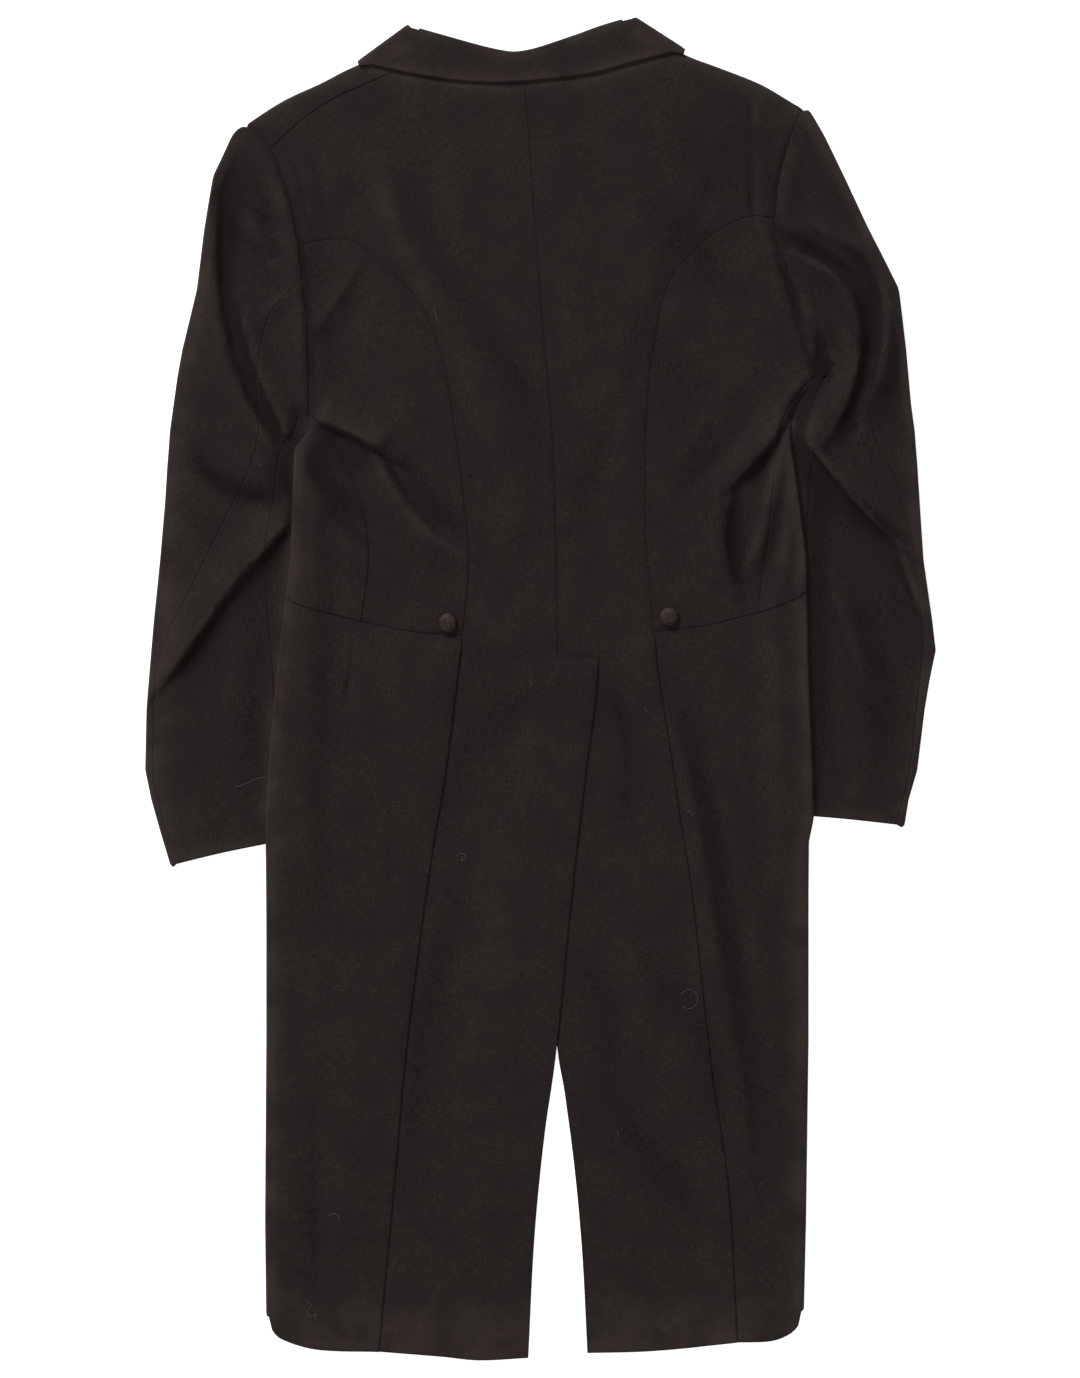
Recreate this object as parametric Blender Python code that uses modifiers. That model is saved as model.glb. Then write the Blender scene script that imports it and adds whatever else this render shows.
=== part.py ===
"""White tie tailcoat laid face down on a flat surface, its back up.

Lengths are in millimetres. X runs to the right of the coat as it is seen from above, Y towards the
collar and Z up. The coat lies in layers: lapels and collar ends on the surface, then the fronts and
the folded-under part of each tail, then the back. A panel that goes round an edge of the coat is
drawn flat on its own layer, carried on past the edge, and laid round the turn.
"""

import math

import bpy
import numpy as np
from mathutils import Vector
from mathutils.geometry import delaunay_2d_cdt

MM = 0.001
CLOTH = 1.6  # wool with its canvas and lining pressed to it
HALF_CLOTH = CLOTH / 2
SEAM_INSET = 0.2  # each panel stops this short of its seam line
LAYER_STEP = 3.4  # from the middle of one layer of cloth to the middle of the next
OVERLAP_STEP = 2.1  # where one edge lies flat on another
LAP_STEP = 2.7  # where a pleat or vent edge lies on soft cloth
TURN_RADIUS = LAYER_STEP / 2
EDGE_INSET = TURN_RADIUS + HALF_CLOTH  # from the outline seen from above to the fold line

GRID_TOP = 23.0  # distance between points of a panel that shows
GRID_UNDER = 36.0  # and of one that lies underneath
SEAM_STEP = 18.0
FOLD_MARGIN = 4.0  # no seam point lies nearer than this to a fold, but where the seam crosses it
OVER_ALL = 2000.0  # longer than anything on the coat
TURN_ROWS = 3  # facets round a turned edge

LIFT = 6.0  # the body's edges lie this much higher where a sleeve lies below them
LIFT_RUN = 24.0  # and slope down to the surface over this distance
LIFT_START = 6.0  # from this far past the sleeve's hidden edge
LIFT_ENDS_LEFT = (-150.0, 213.0)  # lowest and highest place of the raised edge
LIFT_ENDS_RIGHT = (-131.0, 220.0)
LIFT_ROWS = (8.0, LIFT_RUN + LIFT_START)  # where points are set along that slope
TUCK = 14.0  # a sleeve stays flat this far out from its hidden edge
EDGE_RUN = 14.0  # folds die out over this distance at a turned edge
COVER_RUN = 38.0  # the back comes down to the surface this far past the edge of what lies below it
COVER_START = 6.0
FRONT_ENDS = (-40.0, 16.0)  # over these heights the back comes down below the fronts' hem
ARMPIT_LEFT = 222.0
ARMPIT_RIGHT = 254.0
ARMPIT_RUN = 16.0
PLEAT_LAP = 12.0  # width of cloth tucked under a pleat edge
PLEAT_START = 16.0  # the tuck begins this far below the pleat's top
PLEAT_RUN = 26.0  # and is full after this much more
LAP_RUN = 24.0  # an edge that laps over another rises over this distance
LAP_TOP = 62.0  # no lap reaches above this height
ROLL_ROOM = 22.0  # the fronts rise over the lapels within this distance
LAPEL_MARGIN = 8.0
LAPEL_TOP = 425.0
LAPEL_FOOT = 118.0
NECK_ROOM = (395.0, -182.0, 166.0)  # lowest, left and right limits of the room for the collar ends
NECK_RUN = 26.0
HEM_STEP = 9.0  # distance between points round a hem's corner

# Outline of the body as seen from above, a row for each section from the armpits to the hem.
# Columns: height up the coat, left edge, right edge.
BODY_SECTIONS = (
    (252, -188, 224),
    (230, -188, 209),
    (208, -188, 202),
    (194, -199, 203),
    (162, -200, 208),
    (107, -202, 215),
    (60, -208, 216),
    (7, -214, 217),
    (-62, -220, 220),
    (-104, -222, 221),
    (-124, -222, 217),
    (-285, -222, 217),
    (-431, -223, 215),
    (-515, -222, 213),
)

# Outline of the sleeves, a row for each section from the shoulder tip to the cuff.
# Columns: height, outer edge and hidden inner edge of the left sleeve, and of the right one.
SLEEVE_SECTIONS = (
    (466, -233, -180, 219, 188),
    (447, -250, -180, 230, 188),
    (414, -265, -180, 246, 188),
    (371, -272, -180, 266, 188),
    (323, -278, -180, 290, 188),
    (274, -290, -182, 296, 224),
    (252, -294, -184, 298, 225),
    (230, -297, -189, 300, 211),
    (208, -300, -190, 303, 204),
    (194, -301, -201, 304, 205),
    (182, -302, -201, 305, 208),
    (150, -304, -190, 307, 196),
    (104, -308, -192, 310, 194),
    (55, -313, -194, 317, 194),
    (31, -315, -195, 320, 195),
    (7, -317, -196, 315, 196),
    (-17, -319, -196, 311, 197),
    (-66, -320, -197, 305, 198),
    (-90, -315, -197, 298, 199),
    (-115, -308, -197, 294, 200),
    (-145, -299, -197, 292, 200),
)

# Edge lines and seams of the side that shows, from a few points each. Columns: across, up.
SHOULDER_LEFT = ((-112, 519), (-153, 502), (-177, 490), (-209, 475), (-246, 451))
SHOULDER_RIGHT = ((80, 530), (118, 512), (142, 503), (176, 490), (202, 475), (224, 462))
SHOULDER_SEAM_LEFT = ((-116, 500), (-145, 487), (-169, 476), (-192, 461), (-218, 437))
SHOULDER_SEAM_RIGHT = ((88, 514), (125, 498), (176, 476), (208, 453))
NECK_SEAM_LEFT = ((-116, 500), (-70, 499), (-13, 497))
NECK_SEAM_RIGHT = ((-13, 497), (24, 506), (60, 516), (86, 520))
CENTRE_BACK = ((-13, 497), (-6, 404), (2, 297), (10, 200), (13, 104), (14, 27))
ARMHOLE_LEFT_FRONT = ((-237, 454), (-218, 437))
ARMHOLE_LEFT_BACK = ((-218, 437), (-209, 414), (-202, 389), (-196, 358))
ARMHOLE_LEFT_HIND = ((-196, 358), (-193, 330))
ARMHOLE_LEFT_LOW = ((-193, 330), (-189, 293), (-188, 247), (-188, 222))
ARMHOLE_RIGHT_BACK = ((212, 467.4), (207, 457), (200, 437), (193, 408), (190, 380))
ARMHOLE_RIGHT_HIND = ((190, 380), (193, 353))
ARMHOLE_RIGHT_LOW = ((193, 353), (204, 317), (212, 288), (222, 254))
ARMHOLE_LEFT_UNDER = (
    (-237, 454), (-210, 430), (-186, 396), (-172, 350), (-166, 296), (-170, 250), (-188, 222),
)
ARMHOLE_RIGHT_TIP = ((217, 464), (208, 453))
ARMHOLE_RIGHT_UNDER = (
    (208, 453), (188, 426), (172, 390), (168, 345), (178, 300), (200, 268), (222, 251.9),
)
SIDE_BACK_LEFT = (
    (-196, 358), (-179, 362), (-159, 363), (-144, 357), (-120, 335),
    (-95, 308), (-78, 262), (-69, 209), (-61, 143), (-58, 96), (-63, 43),
)
SIDE_BACK_RIGHT = (
    (190, 380), (167, 381), (140, 367), (119, 348), (103, 325),
    (94, 288), (87, 235), (85, 150), (88, 90), (92, 46),
)
SIDE_SEAM_LEFT = ((-185.5, 222), (-163, 190), (-145, 149), (-139, 107), (-145, 54))
SIDE_SEAM_RIGHT = ((221, 252), (198, 222), (191, 190), (188, 160), (183, 112), (176, 61))
WAIST_LEFT_FRONT = ((-208, 73), (-188, 65), (-145, 54))
WAIST_LEFT_BACK = ((-145, 54), (-105, 46), (-63, 43))
WAIST_RIGHT_BACK = ((92, 46), (130, 50), (176, 61))
WAIST_RIGHT_FRONT = ((176, 61), (196, 68), (217, 77))
PLEAT_LEFT = (
    (-63, 43), (-68, 3), (-77, -69), (-89, -141), (-108, -285),
    (-118, -395), (-126, -481), (-131, -537),
)
PLEAT_RIGHT = (
    (92, 46), (95, 12), (104, -44), (112, -100), (123, -171),
    (138, -307), (152, -406), (159, -529),
)
VENT_STEP = ((14, 27), (47, 25))
VENT_OUTER = (
    (47, 25), (44, -13), (38, -58), (26, -160), (13, -291), (3, -363), (-5, -445), (-10, -542),
)
VENT_INNER = (
    (-2, 14), (1, -60), (5, -171), (13, -284), (20, -330), (28, -392), (34, -460), (38, -538),
)
HEM_LEFT_BACK = ((-131, -537), (-81, -541), (-49, -544), (-10, -542))
HEM_LEFT_SIDE = ((-222, -508), (-217, -519), (-208, -527), (-180, -535), (-131, -537))
HEM_RIGHT_BACK = ((38, -538), (81, -537), (120, -534), (159, -529))
HEM_RIGHT_SIDE = ((159, -529), (186, -528), (202, -522), (210, -513), (213, -504))
HIND_SEAM_LEFT = (
    (-193, 330), (-220, 300), (-229, 250), (-228, 205), (-238, 172), (-255, 138),
    (-276, 95), (-300, 45), (-310, 15), (-313, -30), (-312, -75), (-303, -112), (-291, -141),
)
HIND_SEAM_RIGHT = (
    (193, 353), (228, 332), (252, 290), (262, 240), (272, 200), (286, 172),
    (299, 126), (307, 70), (309, 30), (304, -20), (298, -70), (288, -110),
)
INSEAM_LEFT = (
    (-195, 222), (-200, 208), (-211, 190), (-216, 150), (-223, 103), (-217, 21), (-214, -40),
    (-214, -124),
)
INSEAM_RIGHT = (
    (232, 254), (220, 230), (215, 205), (219, 180), (214, 104), (213, 31), (216, -40),
    (218, -103),
)
CUFF_LEFT_HIND = ((-302, -144), (-291, -141))
CUFF_LEFT_MIDDLE = ((-291, -141), (-258, -133), (-214, -124))
CUFF_LEFT_INNER = ((-214, -124), (-196, -120))
CUFF_RIGHT_HIND = ((297, -112), (288, -110))
CUFF_RIGHT_MIDDLE = ((288, -110), (252, -106), (218, -103))
CUFF_RIGHT_INNER = ((218, -103), (199, -101))

# Lines of the side that lies underneath.
WAIST_UNDER_LEFT = ((-208, 73), (-150, 62), (-100, 51))
WAIST_UNDER_RIGHT = ((217, 77), (155, 64), (108, 54))
FRONT_HEM_LEFT = ((-100, 51), (-40, 34), (-8, 27))
FRONT_HEM_RIGHT = ((108, 54), (44, 34), (8, 27))
FRONT_EDGE_LEFT = ((-8, 27), (-4, 90), (-6, 150))
FRONT_EDGE_RIGHT = ((8, 27), (8, 90), (10, 150))
FRONT_NECK_LEFT = ((-96, 470), (-108, 494), (-117, 518))
FRONT_NECK_RIGHT = ((70, 478), (78, 498), (88, 514))
ROLL_LEFT = ((-6, 150), (-96, 470))
ROLL_RIGHT = ((10, 150), (70, 478))
LAPEL_LEFT = ((-6, 150), (-56, 262), (-118, 398), (-146, 424), (-112, 438), (-96, 470))
LAPEL_RIGHT = ((10, 150), (50, 262), (108, 398), (136, 426), (100, 440), (70, 478))
SKIRT_FRONT_LEFT = ((-100, 51), (-128, -80), (-152, -240), (-170, -400), (-180, -511))
SKIRT_FRONT_RIGHT = ((108, 54), (132, -80), (152, -240), (166, -400), (174, -508))
SKIRT_HEM_LEFT = ((-222, -508), (-200, -512), (-180, -511))
SKIRT_HEM_RIGHT = ((213, -504), (192, -509), (174, -508))

# The collar: its fall lies on the back, its stand below the fall, its two ends go round the neck.
COLLAR_ROLL = ((-108, 537), (-88, 531), (-36, 517), (-12, 516), (24, 527), (49, 536), (76, 544))
COLLAR_EDGE = (
    (-149, 507), (-113, 499), (-79, 493), (-45, 490), (-11, 491), (40, 497), (81, 508), (118, 517),
)
COLLAR_STEP = 2.5  # from the back to the fall, middle to middle
COLLAR_END_REACH = 60.0  # how far each end is turned under, along the edge of the neck
STAND_SEAM = ((-98, 502), (-70, 501), (-13, 499), (24, 508), (60, 518), (66, 519))
COLLAR_END_LEFT = ((-149, 507), (-146, 474), (-98, 476), (-108, 537))
COLLAR_END_RIGHT = ((118, 517), (120, 480), (72, 486), (76, 544))

# Main folds of the cloth. Columns: start, middle, end, height, width on the left of that way and
# width on its right.
BODY_FOLDS = (
    ((-176, 216), (-134, 199), (-104, 168), 6.0, 16, 14),
    ((-150, 160), (-118, 150), (-84, 112), 4.5, 14, 12),
    ((-160, 118), (-128, 112), (-100, 88), 3.0, 12, 12),
    ((-112, 262), (-118, 232), (-96, 200), 2.5, 16, 16),
    ((206, 234), (180, 186), (152, 158), 5.5, 15, 13),
    ((196, 176), (184, 130), (178, 92), 4.0, 12, 12),
    ((150, 150), (140, 116), (118, 96), 3.5, 14, 12),
    ((120, 300), (134, 262), (168, 232), 3.0, 20, 16),
    ((-60, 440), (-84, 380), (-92, 330), 2.0, 24, 24),
    ((60, 440), (84, 400), (76, 330), 2.0, 24, 24),
    ((170, 468), (168, 420), (175, 372), 2.5, 14, 7),
    ((-170, 420), (-150, 400), (-132, 384), 2.0, 14, 14),
    ((60, 230), (66, 170), (56, 96), 2.0, 18, 18),
    ((-34, 230), (-26, 160), (-34, 90), 1.6, 18, 18),
    ((-40, -40), (-36, -150), (-48, -250), 2.0, 22, 22),
    ((76, -90), (84, -200), (78, -320), 2.2, 24, 24),
    ((60, -350), (76, -420), (70, -500), 2.2, 22, 22),
    ((150, -120), (164, -240), (168, -340), 3.2, 12, 18),
    ((-160, -60), (-172, -160), (-176, -300), 1.8, 18, 18),
)
SLEEVE_FOLDS = (
    ((-258, 420), (-262, 315), (-236, 226), 5.0, 8, 26),
    ((-214, 350), (-232, 296), (-222, 240), 4.0, 12, 16),
    ((-296, 232), (-262, 186), (-216, 166), 4.5, 18, 14),
    ((-216, 144), (-256, 82), (-294, 28), 6.0, 6, 20),
    ((-290, 90), (-262, 40), (-246, -20), 3.0, 18, 18),
    ((-296, -40), (-284, -90), (-268, -126), 2.0, 14, 14),
    ((206, 366), (240, 354), (268, 318), 5.0, 10, 9),
    ((226, 306), (244, 268), (232, 222), 5.0, 12, 10),
    ((284, 310), (280, 250), (262, 212), 4.0, 12, 14),
    ((214, 200), (256, 150), (292, 116), 5.5, 20, 6),
    ((284, 60), (292, 20), (280, -40), 3.0, 14, 16),
    ((228, 92), (250, 30), (268, -14), 3.0, 14, 12),
    ((262, -30), (258, -66), (254, -92), 2.0, 12, 12),
)

BUTTON_CENTRES = {"left": (-75, 53), "right": (104, 58)}
BUTTON_RADIUS = 7.7
BUTTON_HEIGHT = 4.8
BUTTON_RIM = 1.2
BUTTON_UNDERCUT = 0.6
BUTTON_ROWS = 4  # facets from the top of the dome to its rim
BUTTON_SIDES = 24
BUTTON_GAP = 0.3

# Columns: colour as linear red, green and blue, then roughness.
CLOTH_FINISH = ((0.022, 0.017, 0.016), 0.9)
BUTTON_FINISH = ((0.13, 0.095, 0.08), 0.5)


def ramp(value):
    """0 below nought and 1 above one, with a soft rise between."""
    t = np.clip(value, 0.0, 1.0)
    return t * t * (3.0 - 2.0 * t)


def curve(points, step=SEAM_STEP):
    """A smooth line through the points, as points about a step apart."""
    points = np.array(points, float)
    ends = 2 * points[[0, -1]] - points[[1, -2]]
    knots = np.vstack([ends[:1], points, ends[1:]])
    fine = []
    for before, start, end, after in zip(knots, knots[1:], knots[2:], knots[3:]):
        for t in np.arange(0.0, 1.0, 0.05):
            fine.append(
                0.5 * (2 * start + (end - before) * t
                       + (2 * before - 5 * start + 4 * end - after) * t**2
                       + (3 * start - before - 3 * end + after) * t**3)
            )
    fine = np.vstack(fine + [points[-1]])
    along = np.concatenate([[0.0], np.cumsum(np.linalg.norm(np.diff(fine, axis=0), axis=1))])
    pieces = max(1, round(along[-1] / step))
    at = np.linspace(0.0, along[-1], pieces + 1)
    return np.column_stack([np.interp(at, along, fine[:, 0]), np.interp(at, along, fine[:, 1])])


def chain(*lines):
    """Lines that follow each other, as one run of points with no point twice."""
    run = [np.atleast_2d(lines[0])]
    for line in lines[1:]:
        line = np.atleast_2d(line)
        same = np.linalg.norm(run[-1][-1] - line[0]) < 0.5
        run.append(line[1:] if same else line)
    points = np.vstack(run)
    return points[:-1] if np.linalg.norm(points[0] - points[-1]) < 0.5 else points


def inset(outline, amount):
    """A closed outline drawn in by an amount, its points running counter-clockwise."""
    following = np.roll(outline, -1, axis=0)
    area = (outline[:, 0] * following[:, 1] - following[:, 0] * outline[:, 1]).sum()
    if area < 0:
        outline = outline[::-1]
    run_out = np.roll(outline, -1, axis=0) - outline
    run_out /= np.linalg.norm(run_out, axis=1)[:, None]
    run_in = np.roll(run_out, 1, axis=0)
    inward = np.column_stack([-(run_in + run_out)[:, 1], (run_in + run_out)[:, 0]])
    inward /= np.maximum(np.linalg.norm(inward, axis=1)[:, None], 0.1)
    corner = np.column_stack([-run_out[:, 1], run_out[:, 0]])
    spread = np.clip((inward * corner).sum(axis=1), 0.4, 1.0)
    return outline + inward * (amount / spread)[:, None]


def edge_line(sections, column, inward):
    """The fold line inside one edge of a table of sections: the edge's place at each height."""
    heights = np.array([row[0] for row in sections], float)[::-1]
    places = np.array([row[column] for row in sections], float)[::-1] + inward * EDGE_INSET
    return lambda up: np.interp(up, heights, places)


BODY_LEFT = edge_line(BODY_SECTIONS, 1, 1)
BODY_RIGHT = edge_line(BODY_SECTIONS, 2, -1)
SLEEVE_LEFT_OUT = edge_line(SLEEVE_SECTIONS, 1, 1)
SLEEVE_LEFT_IN = edge_line(SLEEVE_SECTIONS, 2, -1)
SLEEVE_RIGHT_OUT = edge_line(SLEEVE_SECTIONS, 3, -1)
SLEEVE_RIGHT_IN = edge_line(SLEEVE_SECTIONS, 4, 1)


class SideTurn:
    """A turned edge that runs up the coat. Outward is -1 to the left and 1 to the right."""

    def __init__(self, line, outward, other, top=OVER_ALL):
        self.line = line
        self.outward = np.array([outward, 0.0])
        self.other = other
        self.top = top
        self.arc = math.pi * TURN_RADIUS

    def foot(self, points):
        return np.column_stack([self.line(points[:, 1]), points[:, 1]])

    def reached(self, points):
        return points[:, 1] < self.top

    def past(self, points):
        """How far each point of the flat sheet is past the fold."""
        beyond = (points - self.foot(points)) @ self.outward
        return np.where(self.reached(points), beyond, -OVER_ALL)

    def unfold(self, points):
        """Points seen on the layer past the turn, on the flat sheet."""
        points = np.atleast_2d(points)
        inside = (self.foot(points) - points) @ self.outward
        return self.foot(points) + np.outer(self.arc + inside, self.outward)

    def cut(self, line):
        """The part of a line inside the turn, with the point where it comes to the fold."""
        past = self.past(line)
        if past[0] < past[-1]:
            return self.cut(line[::-1])[::-1]
        first = np.argmax(past < -FOLD_MARGIN)
        return np.vstack([self.foot(line[:1]), line[first:]])

    def rows(self, low, high):
        """Lines of points along the fold and round the turn, between two heights."""
        ups = np.linspace(low, high, max(2, round((high - low) / SEAM_STEP)))
        return self.beside(self.foot(np.column_stack([ups, ups])))

    def beside(self, foot):
        shares = np.linspace(0.0, self.arc, TURN_ROWS + 1)
        return [foot + share * self.outward for share in shares]


class TopTurn(SideTurn):
    """A turned edge that runs across the coat, its outward way towards the collar."""

    def __init__(self, points, other, radius=TURN_RADIUS):
        fine = curve(points, 4.0)
        fine = fine[np.argsort(fine[:, 0])]
        folded = fine[:, 1] - radius - HALF_CLOTH
        self.line = lambda across: np.interp(across, fine[:, 0], folded)
        self.outward = np.array([0.0, 1.0])
        self.other = other
        self.arc = math.pi * radius
        self.low, self.high = fine[0, 0], fine[-1, 0]

    def foot(self, points):
        return np.column_stack([points[:, 0], self.line(points[:, 0])])

    def reached(self, points):
        return (points[:, 0] > self.low) & (points[:, 0] < self.high)

    def rows(self, low, high):
        across = np.linspace(low, high, max(2, round((high - low) / SEAM_STEP)))
        return self.beside(self.foot(np.column_stack([across, across])))


class StraightTurn(SideTurn):
    """A turned edge along a straight line, with its outward way square to it."""

    def __init__(self, start, end, inside, other, radius, drawn_in=0.0, before=0.0, after=0.0):
        start = np.array(start, float)
        run = np.array(end, float) - start
        length = np.linalg.norm(run)
        self.way = run / length
        square = np.array([-self.way[1], self.way[0]])
        if (np.array(inside, float) - start) @ square > 0:
            square = -square
        self.start = start - square * drawn_in
        self.low, self.high = -before, length + after
        self.outward = square
        self.other = other
        self.arc = math.pi * radius

    def foot(self, points):
        return points - np.outer((points - self.start) @ self.outward, self.outward)

    def reached(self, points):
        along = (points - self.start) @ self.way
        return (along > self.low) & (along < self.high)

    def rows(self, low, high):
        along = np.linspace(low, high, max(2, round((high - low) / SEAM_STEP)))
        return self.beside(self.start + np.outer(along, self.way))


# Height of each layer's middle over the surface, at places seen from above.

LEFT_TAIL_FRONT = curve(SKIRT_FRONT_LEFT, 10.0)
RIGHT_TAIL_FRONT = curve(SKIRT_FRONT_RIGHT, 10.0)
RIGHT_TAIL_EDGE = curve(VENT_INNER)
LEFT_PLEAT_LINE = curve(PLEAT_LEFT)
RIGHT_PLEAT_LINE = curve(PLEAT_RIGHT)


def across_at(line, up):
    return np.interp(up, line[::-1, 1], line[::-1, 0])


def lift(at):
    """How much the body is raised over the sleeves, whose inner edges lie under it."""
    x, y = at[:, 0], at[:, 1]
    raised = []
    inward = (x - SLEEVE_LEFT_IN(y), SLEEVE_RIGHT_IN(y) - x)
    for inside, ends in zip(inward, (LIFT_ENDS_LEFT, LIFT_ENDS_RIGHT)):
        over = ramp((LIFT_RUN + LIFT_START - inside) / LIFT_RUN)
        raised.append(over * ramp((ends[1] - y) / LIFT_RUN) * ramp((y - ends[0]) / LIFT_RUN))
    return LIFT * np.where(x < 0, raised[0], raised[1])


def lapel_room(at):
    """The fronts lie this much higher where the lapels and collar ends are turned back under them."""
    x, y = at[:, 0], at[:, 1]
    left = across_at(curve(LAPEL_LEFT[:4])[::-1], y) - LAPEL_MARGIN
    right = across_at(curve(LAPEL_RIGHT[:4])[::-1], y) + LAPEL_MARGIN
    wide = ramp((x - left + ROLL_ROOM) / ROLL_ROOM) * ramp((right + ROLL_ROOM - x) / ROLL_ROOM)
    lapels = wide * ramp((y - LAPEL_FOOT) / ROLL_ROOM) * (y < LAPEL_TOP)
    low, neck_left, neck_right = NECK_ROOM
    neck = ramp((x - neck_left) / NECK_RUN) * ramp((neck_right - x) / NECK_RUN)
    return OVERLAP_STEP * np.maximum(lapels, neck * ramp((y - low) / NECK_RUN))


def surface_layer(at):
    return np.full(len(at), HALF_CLOTH)


def under_layer(at):
    return HALF_CLOTH + np.maximum(lift(at), lapel_room(at))


def covered(at):
    """1 where a front or a folded-under tail lies below the back, and 0 where nothing does."""
    x, y = at[:, 0], at[:, 1]
    fronts = ramp((y - FRONT_ENDS[0]) / (FRONT_ENDS[1] - FRONT_ENDS[0]))
    reach = COVER_RUN + COVER_START
    left = ramp((across_at(LEFT_TAIL_FRONT, y) + reach - x) / COVER_RUN)
    right = ramp((x + reach - across_at(RIGHT_TAIL_FRONT, y)) / COVER_RUN)
    return np.maximum.reduce([fronts, left, right])


def fold_height(at, folds):
    """The height of the folds at each place: each is a ridge along a bent line."""
    total = np.zeros(len(at))
    for start, middle, end, height, left_width, right_width in folds:
        line = curve((start, middle, end), 10.0)
        run = np.diff(line, axis=0)
        length = np.linalg.norm(run, axis=1)
        nearest = np.full(len(at), 1e9)
        side = np.zeros(len(at))
        for first, way, size in zip(line, run / length[:, None], length):
            from_first = at - first
            along = from_first @ way
            off = way[0] * from_first[:, 1] - way[1] * from_first[:, 0]
            past_end = np.maximum(0.0, np.maximum(-along, along - size))
            distance = np.hypot(off, past_end)
            closer = distance < nearest
            nearest = np.where(closer, distance, nearest)
            side = np.where(closer, off, side)
        width = np.where(side > 0, left_width, right_width)
        total += height * np.exp(-((nearest / width) ** 2))
    return total


def clear_of_edges(at):
    """0 at the body's turned edges and 1 a little way in, so that folds die out there."""
    x, y = at[:, 0], at[:, 1]
    left = ramp((x - BODY_LEFT(y) + 1.0) / EDGE_RUN)
    right = ramp((BODY_RIGHT(y) - x + 1.0) / EDGE_RUN)
    return np.maximum(left * right, joined(at))


def joined(at):
    """1 where sleeve and body meet at the armhole, and 0 below it."""
    low = np.where(at[:, 0] < 0, ARMPIT_LEFT, ARMPIT_RIGHT)
    return ramp((at[:, 1] - low) / ARMPIT_RUN)


def back_layer(at):
    folds = fold_height(at, BODY_FOLDS) * clear_of_edges(at)
    folds += fold_height(at, SLEEVE_FOLDS) * joined(at)
    return under_layer(at) + LAYER_STEP * covered(at) + folds


def left_back_layer(at):
    """The left back rises near the vent, where its edge lies over the right tail."""
    x, y = at[:, 0], at[:, 1]
    over = ramp((x - across_at(RIGHT_TAIL_EDGE, y)) / LAP_RUN + 1.2)
    return back_layer(at) + LAP_STEP * over * ramp((LAP_TOP - y) / LAP_RUN)


def left_skirt_layer(at):
    """The left skirt rises to its pleat edge, which lies over the back."""
    x, y = at[:, 0], at[:, 1]
    over = ramp((x - across_at(LEFT_PLEAT_LINE, y) + PLEAT_LAP) / LAP_RUN + 1.1)
    return back_layer(at) + LAP_STEP * over * ramp((PLEAT_LEFT[0][1] - y) / PLEAT_LAP)


def right_back_layer(at):
    """The right back rises to its pleat edge, which lies over the skirt."""
    x, y = at[:, 0], at[:, 1]
    over = ramp((x - across_at(RIGHT_PLEAT_LINE, y) + PLEAT_LAP) / LAP_RUN + 1.1)
    return back_layer(at) + LAP_STEP * over * ramp((PLEAT_RIGHT[0][1] - y) / PLEAT_LAP)


def sleeve_layer(at):
    """The side of the sleeves that shows. Its folds die out where it goes in under the body."""
    x, y = at[:, 0], at[:, 1]
    from_body = np.where(x < 0, SLEEVE_LEFT_IN(y) - x, x - SLEEVE_RIGHT_IN(y))
    clear = np.maximum(ramp((from_body - TUCK) / LIFT_RUN), joined(at))
    folds = fold_height(at, SLEEVE_FOLDS) * clear + fold_height(at, BODY_FOLDS) * joined(at)
    return HALF_CLOTH + LAYER_STEP + folds


def collar_layer(at):
    return HALF_CLOTH + OVERLAP_STEP + LAYER_STEP + COLLAR_STEP + 0.0 * at[:, 0]


def stand_layer(at):
    return collar_layer(at) - COLLAR_STEP


def laid(points, layer, turns):
    """Points of a flat sheet laid out in space: on the layer, or round a turn and on past it."""
    places = points.copy()
    heights = layer(points)
    for turn in turns:
        past = turn.past(points)
        chosen = past > 0
        if not chosen.any():
            continue
        foot = turn.foot(points[chosen])
        near = layer(foot)
        far = turn.other(foot)
        angle = math.pi * np.minimum(past[chosen] / turn.arc, 1.0)
        back = np.maximum(past[chosen] - turn.arc, 0.0)
        place = foot + np.outer(turn.arc / math.pi * np.sin(angle) - back, turn.outward)
        bend = (near + far) / 2 - (far - near) / 2 * np.cos(angle)
        places[chosen] = place
        heights[chosen] = bend + (turn.other(place) - far) * (back > 0)
    return np.column_stack([places, heights])


def within(points, outline):
    """The points that lie inside a closed outline."""
    x, y = points[:, :1], points[:, 1:]
    start, end = outline, np.roll(outline, -1, axis=0)
    spans = (start[:, 1] > y) != (end[:, 1] > y)
    rise = np.where(end[:, 1] == start[:, 1], 1.0, end[:, 1] - start[:, 1])
    crossing = start[:, 0] + (y - start[:, 1]) / rise * (end[:, 0] - start[:, 0])
    return points[(spans & (x < crossing)).sum(axis=1) % 2 == 1]


def clear_of(points, others, distance):
    """The points that stay at least a distance from all the others."""
    if not len(others) or not len(points):
        return points
    gap = np.linalg.norm(points[:, None, :] - others[None, :, :], axis=2).min(axis=1)
    return points[gap > distance]


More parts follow.
